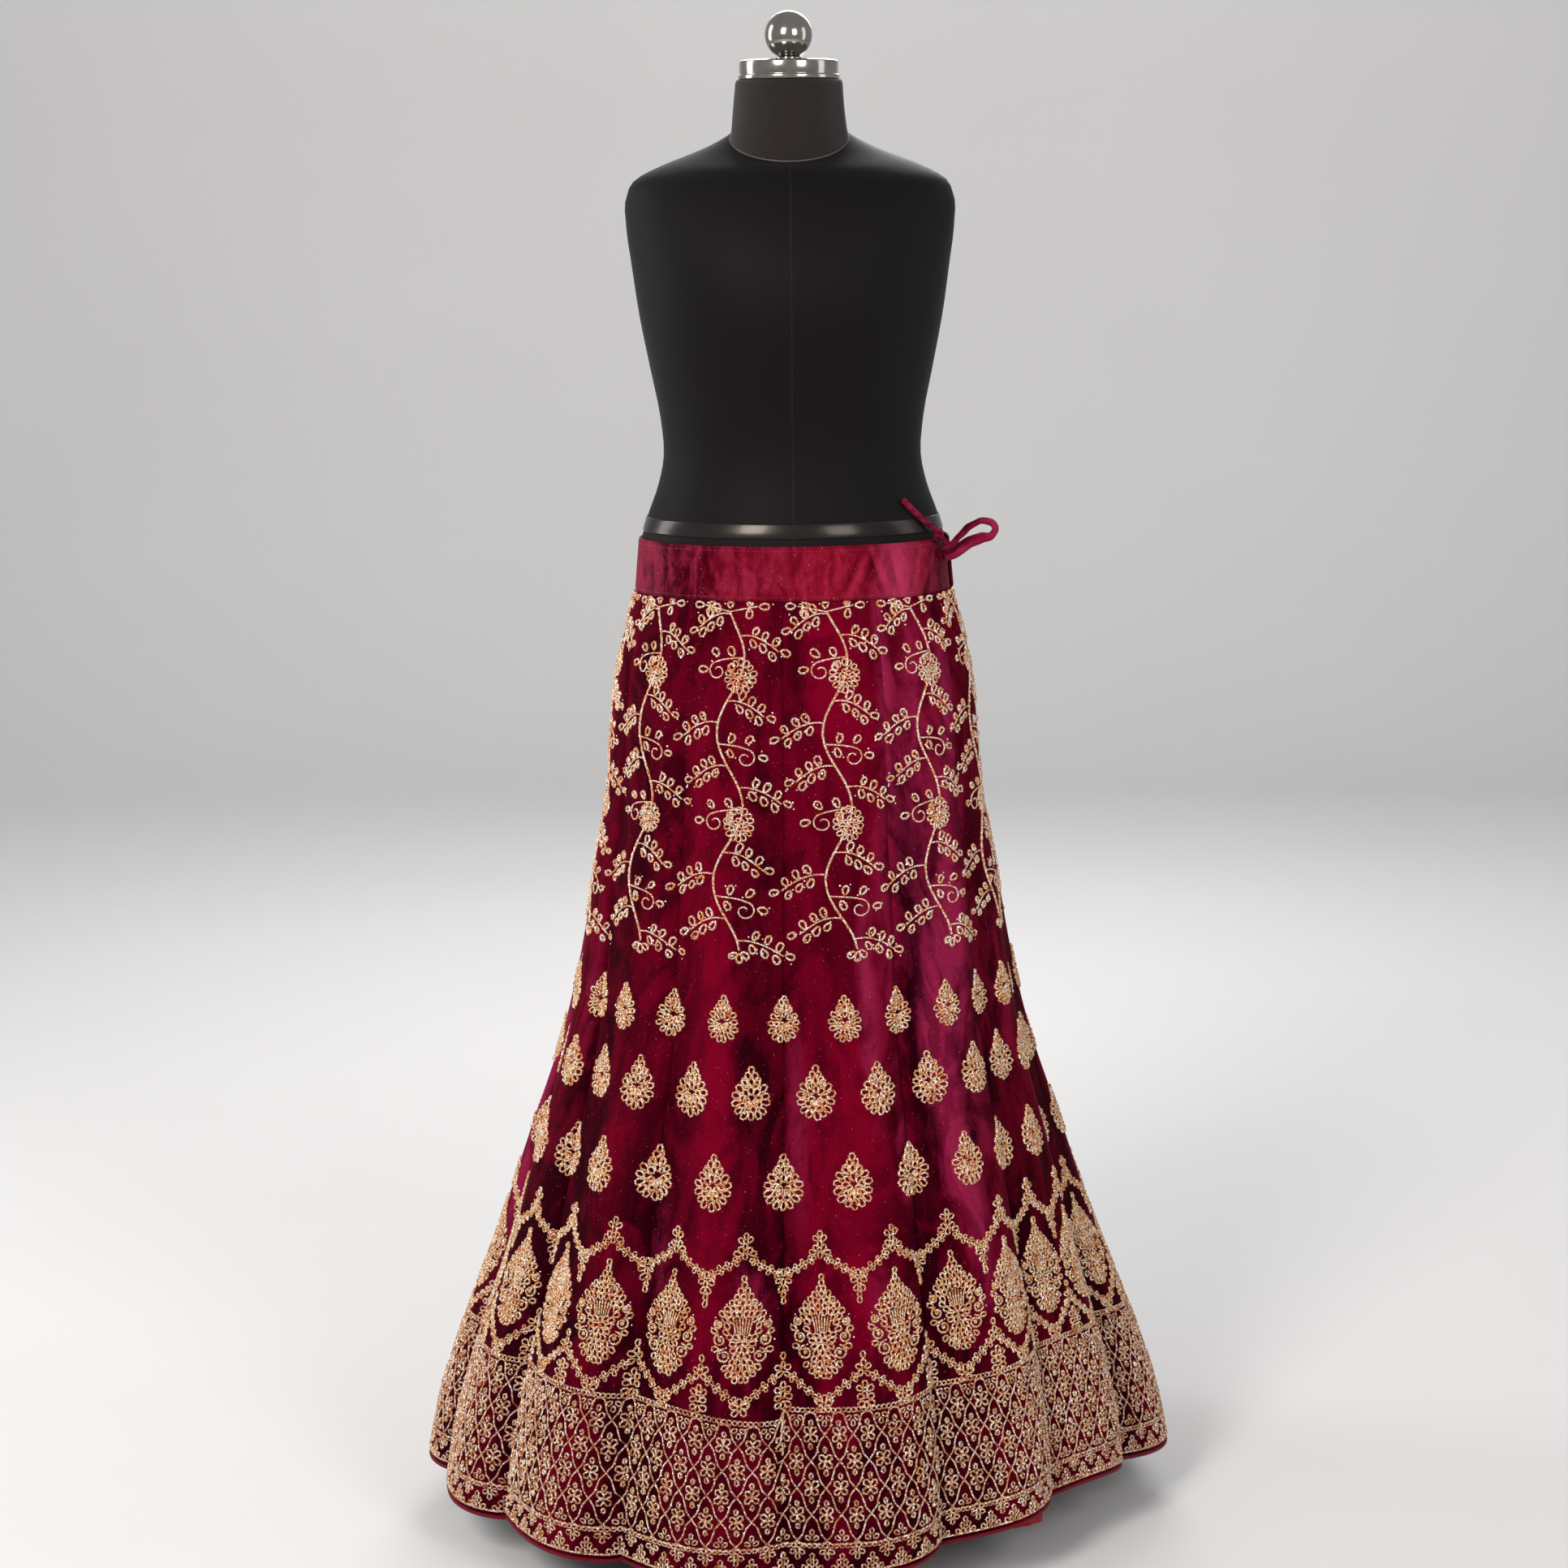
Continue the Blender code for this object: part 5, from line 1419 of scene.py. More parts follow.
tilted = np.gradient(face, axis=1) / np.gradient(band_angle, axis=1) / BAND_RADIUS  # how steeply it turns


def glow(degrees, middle, width):
    """1 at the middle, fading on both sides."""
    return np.exp(-(((degrees - middle) / width) ** 2))


# Painted light and shade: lit is lighter where a pull's slope turns one way and at the front, darker from
# -22 degrees leftward and lighter again far round; shine is painted rose highlights at 41, -70 and 150
# degrees and on the slopes.
lit = 0.42 + 1.5 * tilted + 0.30 * glow(band_degrees, 12, 13) - 0.35 * ease((-22 - band_degrees) / 14)
lit = lit + 0.5 * ease((-60 - band_degrees) / 30) + 0.25 * ease((band_degrees - 90) / 20)
shine = 0.9 * glow(band_degrees, 41, 8.5) + 0.5 * glow(band_degrees, -70, 14)
shine = shine + 0.5 * glow(np.abs(band_degrees), 150, 16) + 1.2 * tilted
waistband = add_piece("satin_waistband", points, quads, satin, "satin", corner_uv=corner_uv,
                      values={"rose_highlight": np.tile(shine.ravel(), 2), "lit": np.tile(lit.ravel(), 2)})
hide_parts("waistband")
band_mean = float(lengths(band_outer, 1).mean())

# %% [markdown]
# ## The underlap
# Behind the opening a second, thinner layer of the same satin is sewn to the back end of the band
# and tucked under its front end. Only a slim triangle of it shows, between the two slants.

# %% The underlap
UNDERLAP_TOP = 1.029
lap_rows = np.linspace(UNDERLAP_TOP, WAIST_SEAM + CLEAR / 2, 17)
lap_angle, lap_height = np.meshgrid(np.linspace(*UNDERLAP_SPAN, 57), lap_rows)
lap_sag = 0.0004 * np.sin(lap_angle * 19) * np.sin((UNDERLAP_TOP - lap_height) * 62)
lap_outer = band_point(lap_angle, lap_height, -BAND_CLOTH + UNDERLAP_CLOTH + lap_sag * 0.5, lapped=False)
lap_inner = band_point(lap_angle, lap_height, -BAND_CLOTH, lapped=False)
lap_uv = np.stack([lap_angle * BAND_RADIUS, lap_height], axis=-1)
points, quads, corner_uv = wall(lap_outer, lap_inner, lap_uv)
# Painted light: a narrow painted highlight at 62 degrees, and an even low lit value as painted shade in the
# opening.
lap_shine = 0.55 * glow(np.degrees(lap_angle), 62, 2.2)
underlap = add_piece("satin_underlap", points, quads, satin, "satin", corner_uv=corner_uv,
                     values={"rose_highlight": np.tile(lap_shine.ravel(), 2), "lit": np.full(len(points), 0.10)})
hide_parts("placket_underlap")

# %% [markdown]
# ## Stitching on the band
# Each row of stitching is a run of short thread stitches with a gap between them. A stitch is a
# tiny four-sided bar that stands 0.2 mm out of the satin.

# %% Stitching on the band
STITCH_LENGTH, STITCH_GAP, THREAD = 0.0026, 0.0010, 0.00045
thread = Finish("thread", Roughness=0.6, Sheen_Weight=0.3)
fuzz = thread.noise(thread.place(), 400.0)
thread.feed(Base_Color=thread.blend(fuzz, (0.06, 0.002, 0.008), (0.13, 0.004, 0.016)))

stitch_count = int(band_mean / (STITCH_LENGTH + STITCH_GAP))
stitch_points = []
for down in (STITCH_LINE, BAND_WIDTH - STITCH_LINE):
    start = band_end(BAND_BACK_END, down / BAND_WIDTH) + 0.01
    end = 2 * math.pi + band_end(BAND_FRONT_END, down / BAND_WIDTH) - 0.01
    begin = np.linspace(start, end, stitch_count)[:-1]
    span = (end - start) / stitch_count * STITCH_LENGTH / (STITCH_LENGTH + STITCH_GAP)
    a = begin[:, None, None] + span * np.array([0.0, 0.25, 0.75, 1.0])[None, :, None]
    rise = np.array([-0.0002, 0.0003, 0.0003, -0.0002])[None, :, None]
    corner = np.array([(0, 1), (-1, 0), (0, -1), (1, 0)])
    z = BAND_TOP - down + corner[None, None, :, 0] * THREAD / 2
    sunk = pull_field(a, z, BAND_PULLS) - 0.0003
    stitch_points.append(band_point(a, np.broadcast_to(z, np.broadcast(a, z).shape),
                                    rise + sunk + corner[None, None, :, 1] * THREAD / 2))
stitches = np.concatenate(stitch_points)
count = len(stitches)
tube = grid_faces(4, 4, round_columns=True)[None] + (np.arange(count) * 16)[:, None, None]
ends = np.array([[0, 1, 2, 3], [15, 14, 13, 12]])[None] + (np.arange(count) * 16)[:, None, None]
add_piece("band_stitching", stitches, np.concatenate([tube, ends], axis=1), thread.material, "satin")
print("stitches:", count, "triangles", pieces_made[-1][1])

# %% [markdown]
# ## The hem
# The hem is bound with a corded piping, and in one place a corner of the lining has dropped below
# it. The piping follows the flutes in a closed round, and the corner hangs behind it.

# %% The hem
PIPING_RADIUS = 0.0020
LINING_CLOTH = 0.0012
CLOTH = 0.0020

piping_finish = Finish("piping_cord", Roughness=0.6, Sheen_Weight=0.06, Specular_IOR_Level=0.15,
                       Specular_Tint=(1.0, 0.3, 0.4, 1.0))
cord_lie = piping_finish.lie("lie")
rib = piping_finish.node("ShaderNodeTexWave", {"wave_type": "BANDS", "bands_direction": "DIAGONAL"},
                         Vector=piping_finish.stretched(cord_lie, 700.0, 160.0), Scale=1.0, Distortion=0.5)
piping_finish.feed(Base_Color=piping_finish.blend(rib * 0.5, (0.120, 0.002, 0.009), (0.070, 0.0012, 0.006)),
                   Normal=piping_finish.bump(rib, 0.0003, 0.5))

HEM_PLACES = 40  # in each kali, closer together near its seams
eased = 0.5 - 0.5 * np.cos(math.pi * np.arange(HEM_PLACES) / HEM_PLACES)
hem_turn = (np.arange(KALIS_ROUND)[:, None] + eased[None]).ravel()
hem_middle = skirt_form(hem_turn, 1.0, -CLOTH / 2)
hem_middle[:, 2] -= PIPING_RADIUS + CLEAR
hem_out = unit(skirt_form(hem_turn, 1.0, 1.0) - skirt_form(hem_turn, 1.0))
PIPING_SIDES = 10
UP = np.array([0.0, 0.0, 1.0])
a = full_circle(PIPING_SIDES)[None, :, None]
piping_rings = hem_middle[:, None] + PIPING_RADIUS * (np.cos(a) * hem_out[:, None] - np.sin(a) * UP)
reach = travelled(hem_middle)
reach = np.append(reach, reach[-1] + 0.002)
piping_uv = tube_uv(reach, np.arange(PIPING_SIDES + 1) * 0.00126)
hem_piping = add_tube("corded_piping", piping_rings, piping_finish.material, "piping", closed=True,
                      corner_uv=piping_uv)
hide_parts("hem_piping")

lining_finish = Finish("lining_taffeta", Roughness=0.5, Specular_IOR_Level=0.1,
                       Specular_Tint=(1.0, 0.2, 0.3, 1.0))
taffeta = lining_finish.noise(lining_finish.stretched(lining_finish.lie("lie"), 900.0, 900.0), 1.0)
lining_finish.feed(Base_Color=lining_finish.blend(taffeta, (0.190, 0.0018, 0.008), (0.260, 0.0035, 0.013)),
                   Normal=lining_finish.bump(taffeta, 0.0002, 0.4))

LINING_SPAN = [1 + 0.5 - 0.5 * math.cos(math.pi * column / 8) for column in (4, 6)]  # as in the frame
LINING_DROP = 0.014  # how far its low end hangs below the piping
corner_turn, down = np.meshgrid(np.linspace(*LINING_SPAN, 29), np.linspace(0, 2, 25))
along_corner = corner_turn - LINING_SPAN[0]
corner_fall = 1 - (1 - np.minimum(down, 1)) / 14
past = np.maximum(down - 1, 0)
hang = 0.15 + 0.85 * along_corner / (LINING_SPAN[1] - LINING_SPAN[0])
behind = CLOTH + CLEAR + np.minimum(down, 1) * PIPING_RADIUS + past * PIPING_RADIUS / 2
ripple = 0.0007 * np.sin(along_corner * 46) * past
corner_walls = []
for inset in (0.0, LINING_CLOTH * 0.8):
    grid = skirt_surface(corner_turn, corner_fall, -(behind + inset) + ripple)
    grid[..., 2] -= past * (PIPING_RADIUS * 2 + LINING_DROP * hang)
    corner_walls.append(grid)
points, quads, corner_uv = wall(*corner_walls, np.stack([along_corner * 0.19, down * 0.04], axis=-1))
lining_corner = add_piece("lining_corner_cloth", points, quads, lining_finish.material, "lining",
                          corner_uv=corner_uv)
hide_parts("lining_corner")
print("piping triangles", pieces_made[-2][1])

# %% [markdown]
# ## The hanger loop
# A strap of the tie's satin is sewn to the band beside the opening, stands out to the side and comes back.
# It is a flat tube with rounded edges and a shallow groove down its middle. Its lower limb has opened out,
# so it is wider and catches more light than the upper one, and it is painted lighter too, with a painted
# rose highlight where the strap turns back.

# %% The hanger loop
LOOP_WIDTH, LOOP_DEPTH = 0.0070, 0.0050
LOOP_ROWS, LOOP_COLUMNS = 90, 20
HANGER_LOOP_ROUTE = (
    (0.1514, -0.0388, 1.0208), (0.1575, -0.0396, 1.0235), (0.1685, -0.0398, 1.0342),
    (0.1803, -0.0385, 1.0453), (0.1934, -0.0370, 1.0505), (0.2022, -0.0355, 1.0484),
    (0.2065, -0.0340, 1.0410), (0.2022, -0.0325, 1.0349), (0.1930, -0.0315, 1.0325),
    (0.1829, -0.0308, 1.0293), (0.1740, -0.0302, 1.0242), (0.1640, -0.0300, 1.0172),
    (0.1547, -0.0298, 1.0128),
)


def cord_uv(rows, columns, length, girth):
    """Metres along an open cord and round it, for tube_uv."""
    return tube_uv(np.arange(rows) * length / (rows - 1), np.arange(columns + 1) * girth / columns, tips=0.0)


def turned_profile(profile, angle):
    """Each ring of (across, up) offsets turned by its own angle."""
    across, up = profile[..., 0], profile[..., 1]
    return np.stack([across * np.cos(angle) - up * np.sin(angle),
                     across * np.sin(angle) + up * np.cos(angle)], axis=-1)


loop_path = smooth_route(HANGER_LOOP_ROUTE, LOOP_ROWS)
a = full_circle(LOOP_COLUMNS)
share = np.linspace(0, 1, LOOP_ROWS)[:, None]
groove = 1 - 0.30 * np.exp(-((np.sin(a)[None] / 0.45) ** 2))
wobble = 1 + 0.08 * np.sin(share * 31 + 2 * a[None]) + 0.06 * np.sin(share * 57 + a[None])
loop_profile = np.stack([LOOP_DEPTH / 2 * np.cos(a)[None] * groove * wobble,
                         LOOP_WIDTH / 2 * np.sin(a)[None] * (2 - wobble)], axis=-1)
twist = math.radians(48) * ease((share - 0.45) / 0.35) + math.radians(22) * (1 - ease(share / 0.25))
opened = 1 + 1.05 * ease((share - 0.5) / 0.32) - 0.45 * ease((share - 0.88) / 0.12)
loop_profile = turned_profile(loop_profile * opened[..., None], twist)
loop_rings = sweep(loop_path, (0.0, 1.0, 0.0), loop_profile)
# Painted light: lighter along the lower limb and in crinkled bands, with a painted rose highlight where the
# strap turns back.
loop_lit = 0.30 + 0.55 * ease((share - 0.42) / 0.1) + 0.35 * np.sin(share * 9 + 3 * a[None] + 0.8)
loop_rose_highlight = 0.02 + 0.6 * np.exp(-(((share - 0.47) / 0.1) ** 2)) + 0.3 * np.sin(share * 14 - 2 * a[None])
loop_paint = {"lit": np.append(loop_lit, (0.3, 0.3)), "rose_highlight": np.append(loop_rose_highlight, (0.1, 0.1))}
loop_piece = add_tube("satin_loop", loop_rings, tie_satin, "tie_cloth", values=loop_paint,
                      corner_uv=cord_uv(LOOP_ROWS, LOOP_COLUMNS, 0.13, 0.018))
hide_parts("hanger_loop")
print("loop triangles:", pieces_made[-1][1])

# %% [markdown]
# ## The tie
# A thin satin cord comes out from under the band beside the opening. Just above the band it is
# knotted, and its free end lies up across the tape of the form. The knot is one cord's width
# thick and two wide: a few turns of the cord drawn tight round a core.

# %% The tie
TIE_RADIUS = 0.0026
TIE_END_RADIUS = 0.0032
KNOT_SIZE = (0.0058, 0.0048, 0.0076)
KNOT_STATION = (64.0, 1.0390, -0.0010)
KNOT_LEAN = math.radians(-35.0)
TIE_LOWER_STATIONS = ((71.4, 1.0272, 0.0010), (68.6, 1.0322, 0.0010), (66.4, 1.0352, 0.0014))
TIE_END_STATIONS = ((63.4, 1.0443, 0.0052), (60.0, 1.0512, 0.0024), (57.0, 1.0575, 0.0012),
                    (53.5, 1.0660, 0.0005), (49.5, 1.0760, 0.0004))
FORM_GIRTHS = np.array((  # height, half width, front, back
    (0.800, 0.1380, 0.1000, 0.1080), (0.806, 0.1480, 0.1080, 0.1170), (0.830, 0.1590, 0.1170, 0.1270),
    (0.880, 0.1655, 0.1215, 0.1330), (0.930, 0.1650, 0.1215, 0.1300), (0.960, 0.1625, 0.1215, 0.1275),
    (0.979, 0.1601, 0.1215, 0.1255), (0.9845, 0.15962, 0.12104, 0.12504), (0.993, 0.15888, 0.12033, 0.12433),
    (1.0065, 0.15770, 0.11920, 0.12320), (1.020, 0.15652, 0.11807, 0.12207),
    (1.0285, 0.15578, 0.11736, 0.12136),
    (1.034, 0.1553, 0.1169, 0.1209), (1.0415, 0.1532, 0.1150, 0.1188), (1.0488, 0.1511, 0.1134, 0.1169),
    (1.056, 0.1490, 0.1118, 0.1150), (1.085, 0.1385, 0.1050, 0.1050), (1.115, 0.1320, 0.1015, 0.0980),
    (1.155, 0.1345, 0.1040, 0.0950), (1.205, 0.1440, 0.1160, 0.0965), (1.260, 0.1545, 0.1290, 0.1000),
    (1.310, 0.1615, 0.1260, 0.1020), (1.350, 0.1665, 0.1120, 0.1010), (1.378, 0.1660, 0.0970, 0.0960),
    (1.398, 0.1540, 0.0860, 0.0880), (1.412, 0.1240, 0.0760, 0.0790), (1.424, 0.0880, 0.0670, 0.0690),
    (1.432, 0.0680, 0.0620, 0.0640), (1.436, 0.0602, 0.0602, 0.0602),
))


def form_reach(height):
    """Half width, front and back of the dress form at a height, evenly between its sections."""
    return [np.interp(height, FORM_GIRTHS[:, 0], FORM_GIRTHS[:, i]) for i in (1, 2, 3)]


# A station is degrees round the form, a height and a gap between the cord and what it lies on.
tie_stations = [band_point(np.radians(a), z, TIE_RADIUS + gap) for a, z, gap in TIE_LOWER_STATIONS]
knot_degrees, knot_height, knot_gap = KNOT_STATION
knot_middle = band_point(np.radians(knot_degrees), knot_height, KNOT_SIZE[1] + knot_gap)
tie_stations.append(knot_middle)
for degrees, z, gap in TIE_END_STATIONS:
    x, y = oval(math.radians(degrees), *(side + TIE_END_RADIUS + gap for side in form_reach(z)))
    tie_stations.append(np.array([x, y, z]))
TIE_ROWS, TIE_COLUMNS = 84, 14
tie_path = smooth_route(tie_stations, TIE_ROWS)
share = np.linspace(0, 1, TIE_ROWS)[:, None]
a = full_circle(TIE_COLUMNS)
puckers = 1 + 0.05 * np.sin(share * 46) + 0.03 * np.sin(share * 91)
tie_radius = TIE_RADIUS + (TIE_END_RADIUS - TIE_RADIUS) * ease((share - 0.3) / 0.3)
tie_radius = tie_radius * (1 - 0.55 * ease((share - 0.975) / 0.025)) * puckers
seam_line = 1 - 0.16 * glow(wrapped(a), 0, 0.35)[None]
tie_profile = tie_radius[..., None] * (np.stack([np.cos(a), np.sin(a)], axis=-1) * seam_line[..., None])
tie_rings = sweep(tie_path, (0.55, -0.80, 0.2), tie_profile)
tie_length = float(lengths(tie_path, 0))
# Painted light in bands along the cord, and an even painted rose highlight.
tie_lit = 0.4 + 0.4 * np.sin(share * 38 + 2 * a[None])
tie_paint = {"rose_highlight": np.full(TIE_ROWS * TIE_COLUMNS + 2, 0.3), "lit": np.append(tie_lit, (0.3, 0.3))}
tie = add_tube("satin_tie", tie_rings, tie_satin, "tie_cloth", values=tie_paint,
               corner_uv=cord_uv(TIE_ROWS, TIE_COLUMNS, tie_length, 0.0165))
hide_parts("tie_lower", "tie_end")

KNOT_TURNS, KNOT_CORD = 2.6, 0.0020
KNOT_ROWS, KNOT_COLUMNS = 110, 12
share = np.linspace(0, 1, KNOT_ROWS)
polar = math.pi * (0.13 + 0.74 * share)
wind = 2 * math.pi * KNOT_TURNS * share
size = np.array(KNOT_SIZE) - KNOT_CORD * 0.75
coil = np.stack([np.sin(polar) * np.cos(wind), np.sin(polar) * np.sin(wind), -np.cos(polar)], axis=-1) * size
lean = np.array(Matrix.Rotation(-KNOT_LEAN, 3, "Y"))
swing = np.array(Matrix.Rotation(math.radians(knot_degrees), 3, "Z"))
coil = coil @ (swing @ lean).T + knot_middle
a = full_circle(KNOT_COLUMNS)
taper = 0.55 + 0.45 * np.sin(math.pi * share) ** 0.5
knot_profile = KNOT_CORD * taper[:, None, None] * np.stack([1.05 * np.cos(a), 0.92 * np.sin(a)], axis=-1)
knot_rings = sweep(coil, coil - knot_middle, knot_profile)
# An even painted light and painted rose highlight over the knot.
knot_count = KNOT_ROWS * KNOT_COLUMNS + 2
knot = add_tube("satin_knot", knot_rings, tie_satin, "tie_cloth",
                corner_uv=cord_uv(KNOT_ROWS, KNOT_COLUMNS, 0.08, 0.012),
                values={"rose_highlight": np.full(knot_count, 0.3), "lit": np.full(knot_count, 0.4)})
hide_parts("tie_knot")
print("tie length, mm:", round(tie_length * 1000))

# %% [markdown]
# ## The dress form
# The form is a moulded body covered in fine black jersey drawn tight, so it has no folds, only a
# seam down its front. The neck is covered apart, in a dark brown cloth. A glossy tape marks the
# waist, and a chrome cap with a ball finishes the neck.

# %% The dress form
jersey = Finish("jersey", Sheen_Weight=0.035, Sheen_Roughness=0.5, Specular_IOR_Level=0.08)
jersey_lie = jersey.lie("lie")
knit = jersey.noise(jersey.stretched(jersey_lie, 1500.0, 900.0), 1.0, 2.0)
soft = jersey.noise(jersey.place(), 7.0, 3.0)
along = jersey.node("ShaderNodeSeparateXYZ", {}, jersey_lie, out="X")
seam = 1.0 - jersey.between(along * along, 0.0000001, 0.0000016)
shade = jersey.blend(soft, (0.0026, 0.0020, 0.0020), (0.0045, 0.0035, 0.0036))
jersey.feed(Base_Color=jersey.blend(seam * 0.6, shade, (0.011, 0.009, 0.009)), Roughness=0.50 + soft * 0.2,
            Normal=jersey.bump(knit * 0.12 - seam, 0.0006, 0.5))

TORSO_COLUMNS, TORSO_ROWS = 96, 88
SHOULDER, NECK_BASE, NECK_TILT, NECK_BASE_RADIUS = 1.360, 1.436, 0.024, 0.0602
step_share = np.linspace(0, len(FORM_GIRTHS) - 1, TORSO_ROWS)
torso_height = np.interp(step_share, np.arange(len(FORM_GIRTHS)), FORM_GIRTHS[:, 0])[:, None]
torso_reach = [flowing(torso_height, FORM_GIRTHS[:, 0], FORM_GIRTHS[:, i]) for i in (1, 2, 3)]
a = full_circle(TORSO_COLUMNS)[None]
x, y = oval(a, *torso_reach)
near_neck = ease((torso_height - SHOULDER) / (NECK_BASE - SHOULDER))
tilt_down = NECK_TILT * near_neck * np.minimum(1.0, NECK_BASE_RADIUS / torso_reach[0]) * np.cos(a)
torso_rings = np.stack([x, y, torso_height - tilt_down - 0.0003 * near_neck], axis=-1)
# The map's across is 0 at the front seam and jumps from 0.45 to -0.45 metres at the middle of the back.
half = TORSO_COLUMNS // 2
around = (np.mod(np.arange(TORSO_COLUMNS + 1) / TORSO_COLUMNS + 0.5, 1) - 0.5) * 0.9
around[half] = 0.45
torso_uv = tube_uv(torso_height[:, 0], around, tips=0.3)[:, ::-1]
behind_back = np.arange(len(torso_uv)) // 4 % TORSO_COLUMNS >= half
behind_back[len(torso_uv) - TORSO_COLUMNS * 6:] = False
torso_uv[behind_back & (torso_uv[:, 0] == 0.45), 0] = -0.45
torso = add_tube("jersey_torso", torso_rings, jersey.material, "form_cloth", corner_uv=torso_uv)
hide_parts("form_torso")
print("torso triangles:", pieces_made[-1][1])

# %% [markdown]
# ## Neck, tape, cap and ball
# The neck's cloth is gathered over a card and its lower edge is bound with a thin cord. The
# turned metal parts are drawn from their profiles, with a lip round the cap and a short stem
# under the ball, and every edge of them is rounded so that it catches the light.

# %% Neck, tape, cap and ball
neck_finish = Finish("neck_weave", Sheen_Weight=0.14, Sheen_Roughness=0.5, Specular_IOR_Level=0.2)
grain = neck_finish.noise(neck_finish.place(), 620.0, 2.0)
patch = neck_finish.noise(neck_finish.place(), 26.0, 3.0)
neck_finish.feed(Base_Color=neck_finish.blend(patch, (0.0065, 0.0040, 0.0033), (0.0125, 0.0083, 0.0069)),
                 Roughness=0.72 + patch * 0.15, Normal=neck_finish.bump(grain, 0.0005, 0.5))
tape_finish = Finish("tape_gloss", Specular_IOR_Level=0.26, Specular_Tint=(1.0, 0.86, 0.74, 1.0),
                     Coat_Weight=0.06, Coat_Roughness=0.08)
scuff = tape_finish.noise(tape_finish.stretched(tape_finish.place(), 8.0, 8.0, 60.0), 1.0, 3.0)
tape_finish.feed(Base_Color=tape_finish.blend(scuff, (0.004, 0.0035, 0.0035), (0.013, 0.011, 0.011)),
                 Roughness=0.16 + scuff * 0.14, Normal=tape_finish.bump(scuff, 0.0004, 0.3))
chrome = Finish("polished_chrome", Metallic=1.0)
haze = chrome.noise(chrome.place(), 60.0, 4.0, 0.6)
hairline = chrome.noise(chrome.stretched(chrome.place(), 12.0, 12.0, 900.0), 1.0, 2.0)
chrome.feed(Base_Color=chrome.blend(haze, (0.30, 0.28, 0.25), (0.44, 0.42, 0.38)),
            Roughness=0.10 + haze * 0.10, Normal=chrome.bump(hairline, 0.00004, 0.25))

NECK_TOP, NECK_TOP_RADIUS = 1.4940, 0.0540
share = np.linspace(0, 1, 22)[:, None]
a = full_circle(72)[None]
neck_radius = NECK_BASE_RADIUS + (NECK_TOP_RADIUS - NECK_BASE_RADIUS) * share**0.7
gathers = 0.0004 * np.sin(9 * a) * np.sin(math.pi * share) ** 2
neck_radius = neck_radius - 0.0012 * ease((share - 0.965) / 0.035) - gathers
neck_height = NECK_BASE + (NECK_TOP - NECK_BASE) * share - NECK_TILT * (1 - share) * np.cos(a)
neck_rings = np.stack([neck_radius * np.sin(a), -neck_radius * np.cos(a), neck_height], axis=-1)
neck = add_tube("neck_cover", neck_rings, neck_finish.material, "neck_cloth")
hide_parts("form_neck")
EDGE_CORD = 0.0011  # radius
edge_angle = full_circle(120)
edge_out = np.stack([np.sin(edge_angle), -np.cos(edge_angle), np.zeros(len(edge_angle))], axis=-1)
edge_height = NECK_BASE + 0.0008 - NECK_TILT * np.cos(edge_angle)
edge_path = edge_out * (NECK_BASE_RADIUS - 0.0003) + edge_height[:, None] * UP
b = full_circle(8)[None, :, None]
edge_rings = edge_path[:, None] + EDGE_CORD * (np.cos(b) * edge_out[:, None] - np.sin(b) * UP)
edge_finish = Finish("neck_edge", Roughness=0.5, Specular_IOR_Level=0.4)
ply = edge_finish.noise(edge_finish.place(), 300.0)
edge_finish.feed(Base_Color=edge_finish.blend(ply, (0.035, 0.028, 0.025), (0.07, 0.058, 0.052)))
add_tube("neck_edge_cord", edge_rings, edge_finish.material, "neck_cloth", closed=True)


def around_pole(profile, columns):
    """Rings from (radius, height) pairs, lowest first."""
    a = full_circle(columns)[None]
    radius, height = profile[:, :1], profile[:, 1:]
    return np.stack(np.broadcast_arrays(radius * np.sin(a), -radius * np.cos(a), height), axis=-1)


def rounded(radius, low, high, edge, steps=4):
    """Profile of a disc from low to high whose two edges are quarter rounds."""
    q = np.linspace(0, math.pi / 2, steps + 1)
    bottom = np.stack([radius - edge + edge * np.sin(q), low + edge - edge * np.cos(q)], axis=-1)
    top = np.stack([radius - edge + edge * np.cos(q), high - edge + edge * np.sin(q)], axis=-1)
    return np.concatenate([bottom, top])


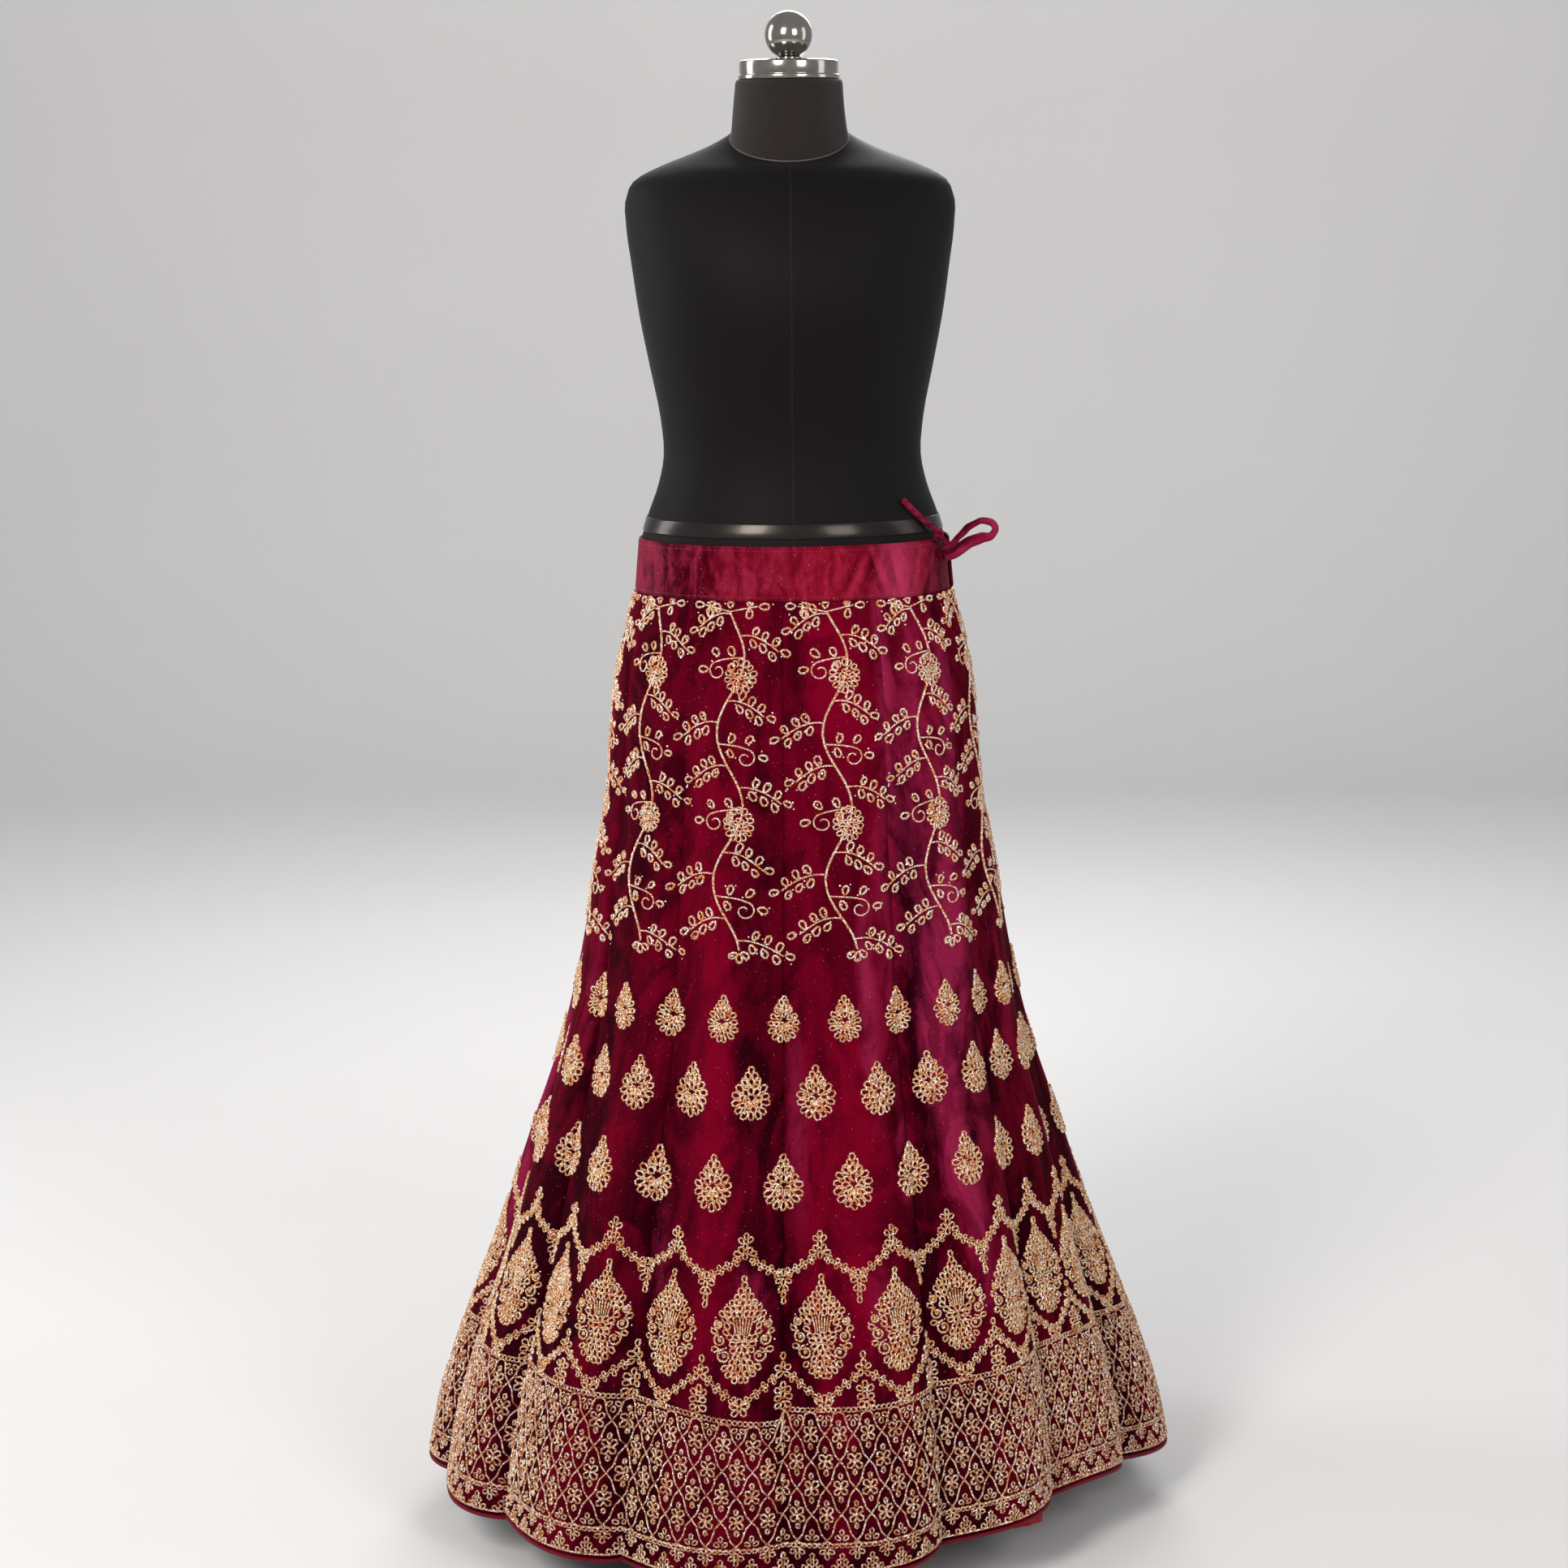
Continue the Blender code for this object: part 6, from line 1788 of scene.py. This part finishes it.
TAPE_SHAPE = ((0.0, 0.0), (0.7, 0.0), (1.0, 0.06), (1.0, 0.5), (1.0, 0.94), (0.7, 1.0), (0.0, 1.0))
TAPE_BOTTOM, TAPE_TOP, TAPE_THICKNESS = 1.0415, 1.056, 0.0010
TAPE_COLUMNS = 144
tape_rings = []
for outward, up in TAPE_SHAPE:  # shares of its thickness and its width
    z = TAPE_BOTTOM + (TAPE_TOP - TAPE_BOTTOM) * up
    reaches = [side + CLEAR + TAPE_THICKNESS * outward for side in form_reach(z)]
    x, y = oval(full_circle(TAPE_COLUMNS), *reaches)
    tape_rings.append(np.stack([x, y, np.full(TAPE_COLUMNS, z)], axis=-1))
points = np.concatenate(tape_rings)
quads = grid_faces(len(TAPE_SHAPE), TAPE_COLUMNS, round_rows=True, round_columns=True)[:, ::-1]
tape = add_piece("waist_tape_gloss", points, quads, tape_finish.material, "waist_tape")
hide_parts("form_waist_tape")

CAP_RADIUS, CAP_BOTTOM, CAP_TOP = 0.0512, 1.4943, 1.5145
LIP_HEIGHT, LIP_DEPTH = 0.0052, 0.0012
lip = rounded(CAP_RADIUS, CAP_BOTTOM, CAP_BOTTOM + LIP_HEIGHT, 0.0014)
groove = [(CAP_RADIUS - LIP_DEPTH, CAP_BOTTOM + LIP_HEIGHT + 0.0006)]
body = rounded(CAP_RADIUS - LIP_DEPTH, CAP_BOTTOM + LIP_HEIGHT, CAP_TOP - 0.0012, 0.0018)[5:]
dome = [(CAP_RADIUS - 0.006, CAP_TOP - 0.0005), (0.030, CAP_TOP), (0.014, CAP_TOP)]
cap_rings = around_pole(np.concatenate([lip, groove, body, dome]), 96)
cap = add_tube("chrome_cap", cap_rings, chrome.material, "chrome")
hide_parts("form_cap")
BALL_RADIUS, BALL_CENTRE, STEM_RADIUS = 0.0240, 1.5385, 0.0098
foot = rounded(0.0135, 1.5148, 1.5166, 0.0006)
stem = [(0.0104, 1.5172), (STEM_RADIUS, 1.5178)]
polar = np.linspace(math.asin(STEM_RADIUS / BALL_RADIUS) + 0.02, math.pi - 0.02, 32)
sphere = np.stack([BALL_RADIUS * np.sin(polar), BALL_CENTRE - BALL_RADIUS * np.cos(polar)], axis=-1)
ball_rings = around_pole(np.concatenate([foot, stem, sphere]), 56)
ball = add_tube("chrome_ball", ball_rings, chrome.material, "chrome")
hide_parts("form_ball")
for node in ("stand_base", "stand_collar", "stand_pole"):
    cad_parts[node].data.materials[0] = chrome.material
print("hard parts of the form:", pieces_made[-5:])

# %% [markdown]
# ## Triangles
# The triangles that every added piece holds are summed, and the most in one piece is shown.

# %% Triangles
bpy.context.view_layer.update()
triangle_counts = [count for _, count in pieces_made]
print("triangles added:", sum(triangle_counts), "most in a piece", max(triangle_counts))
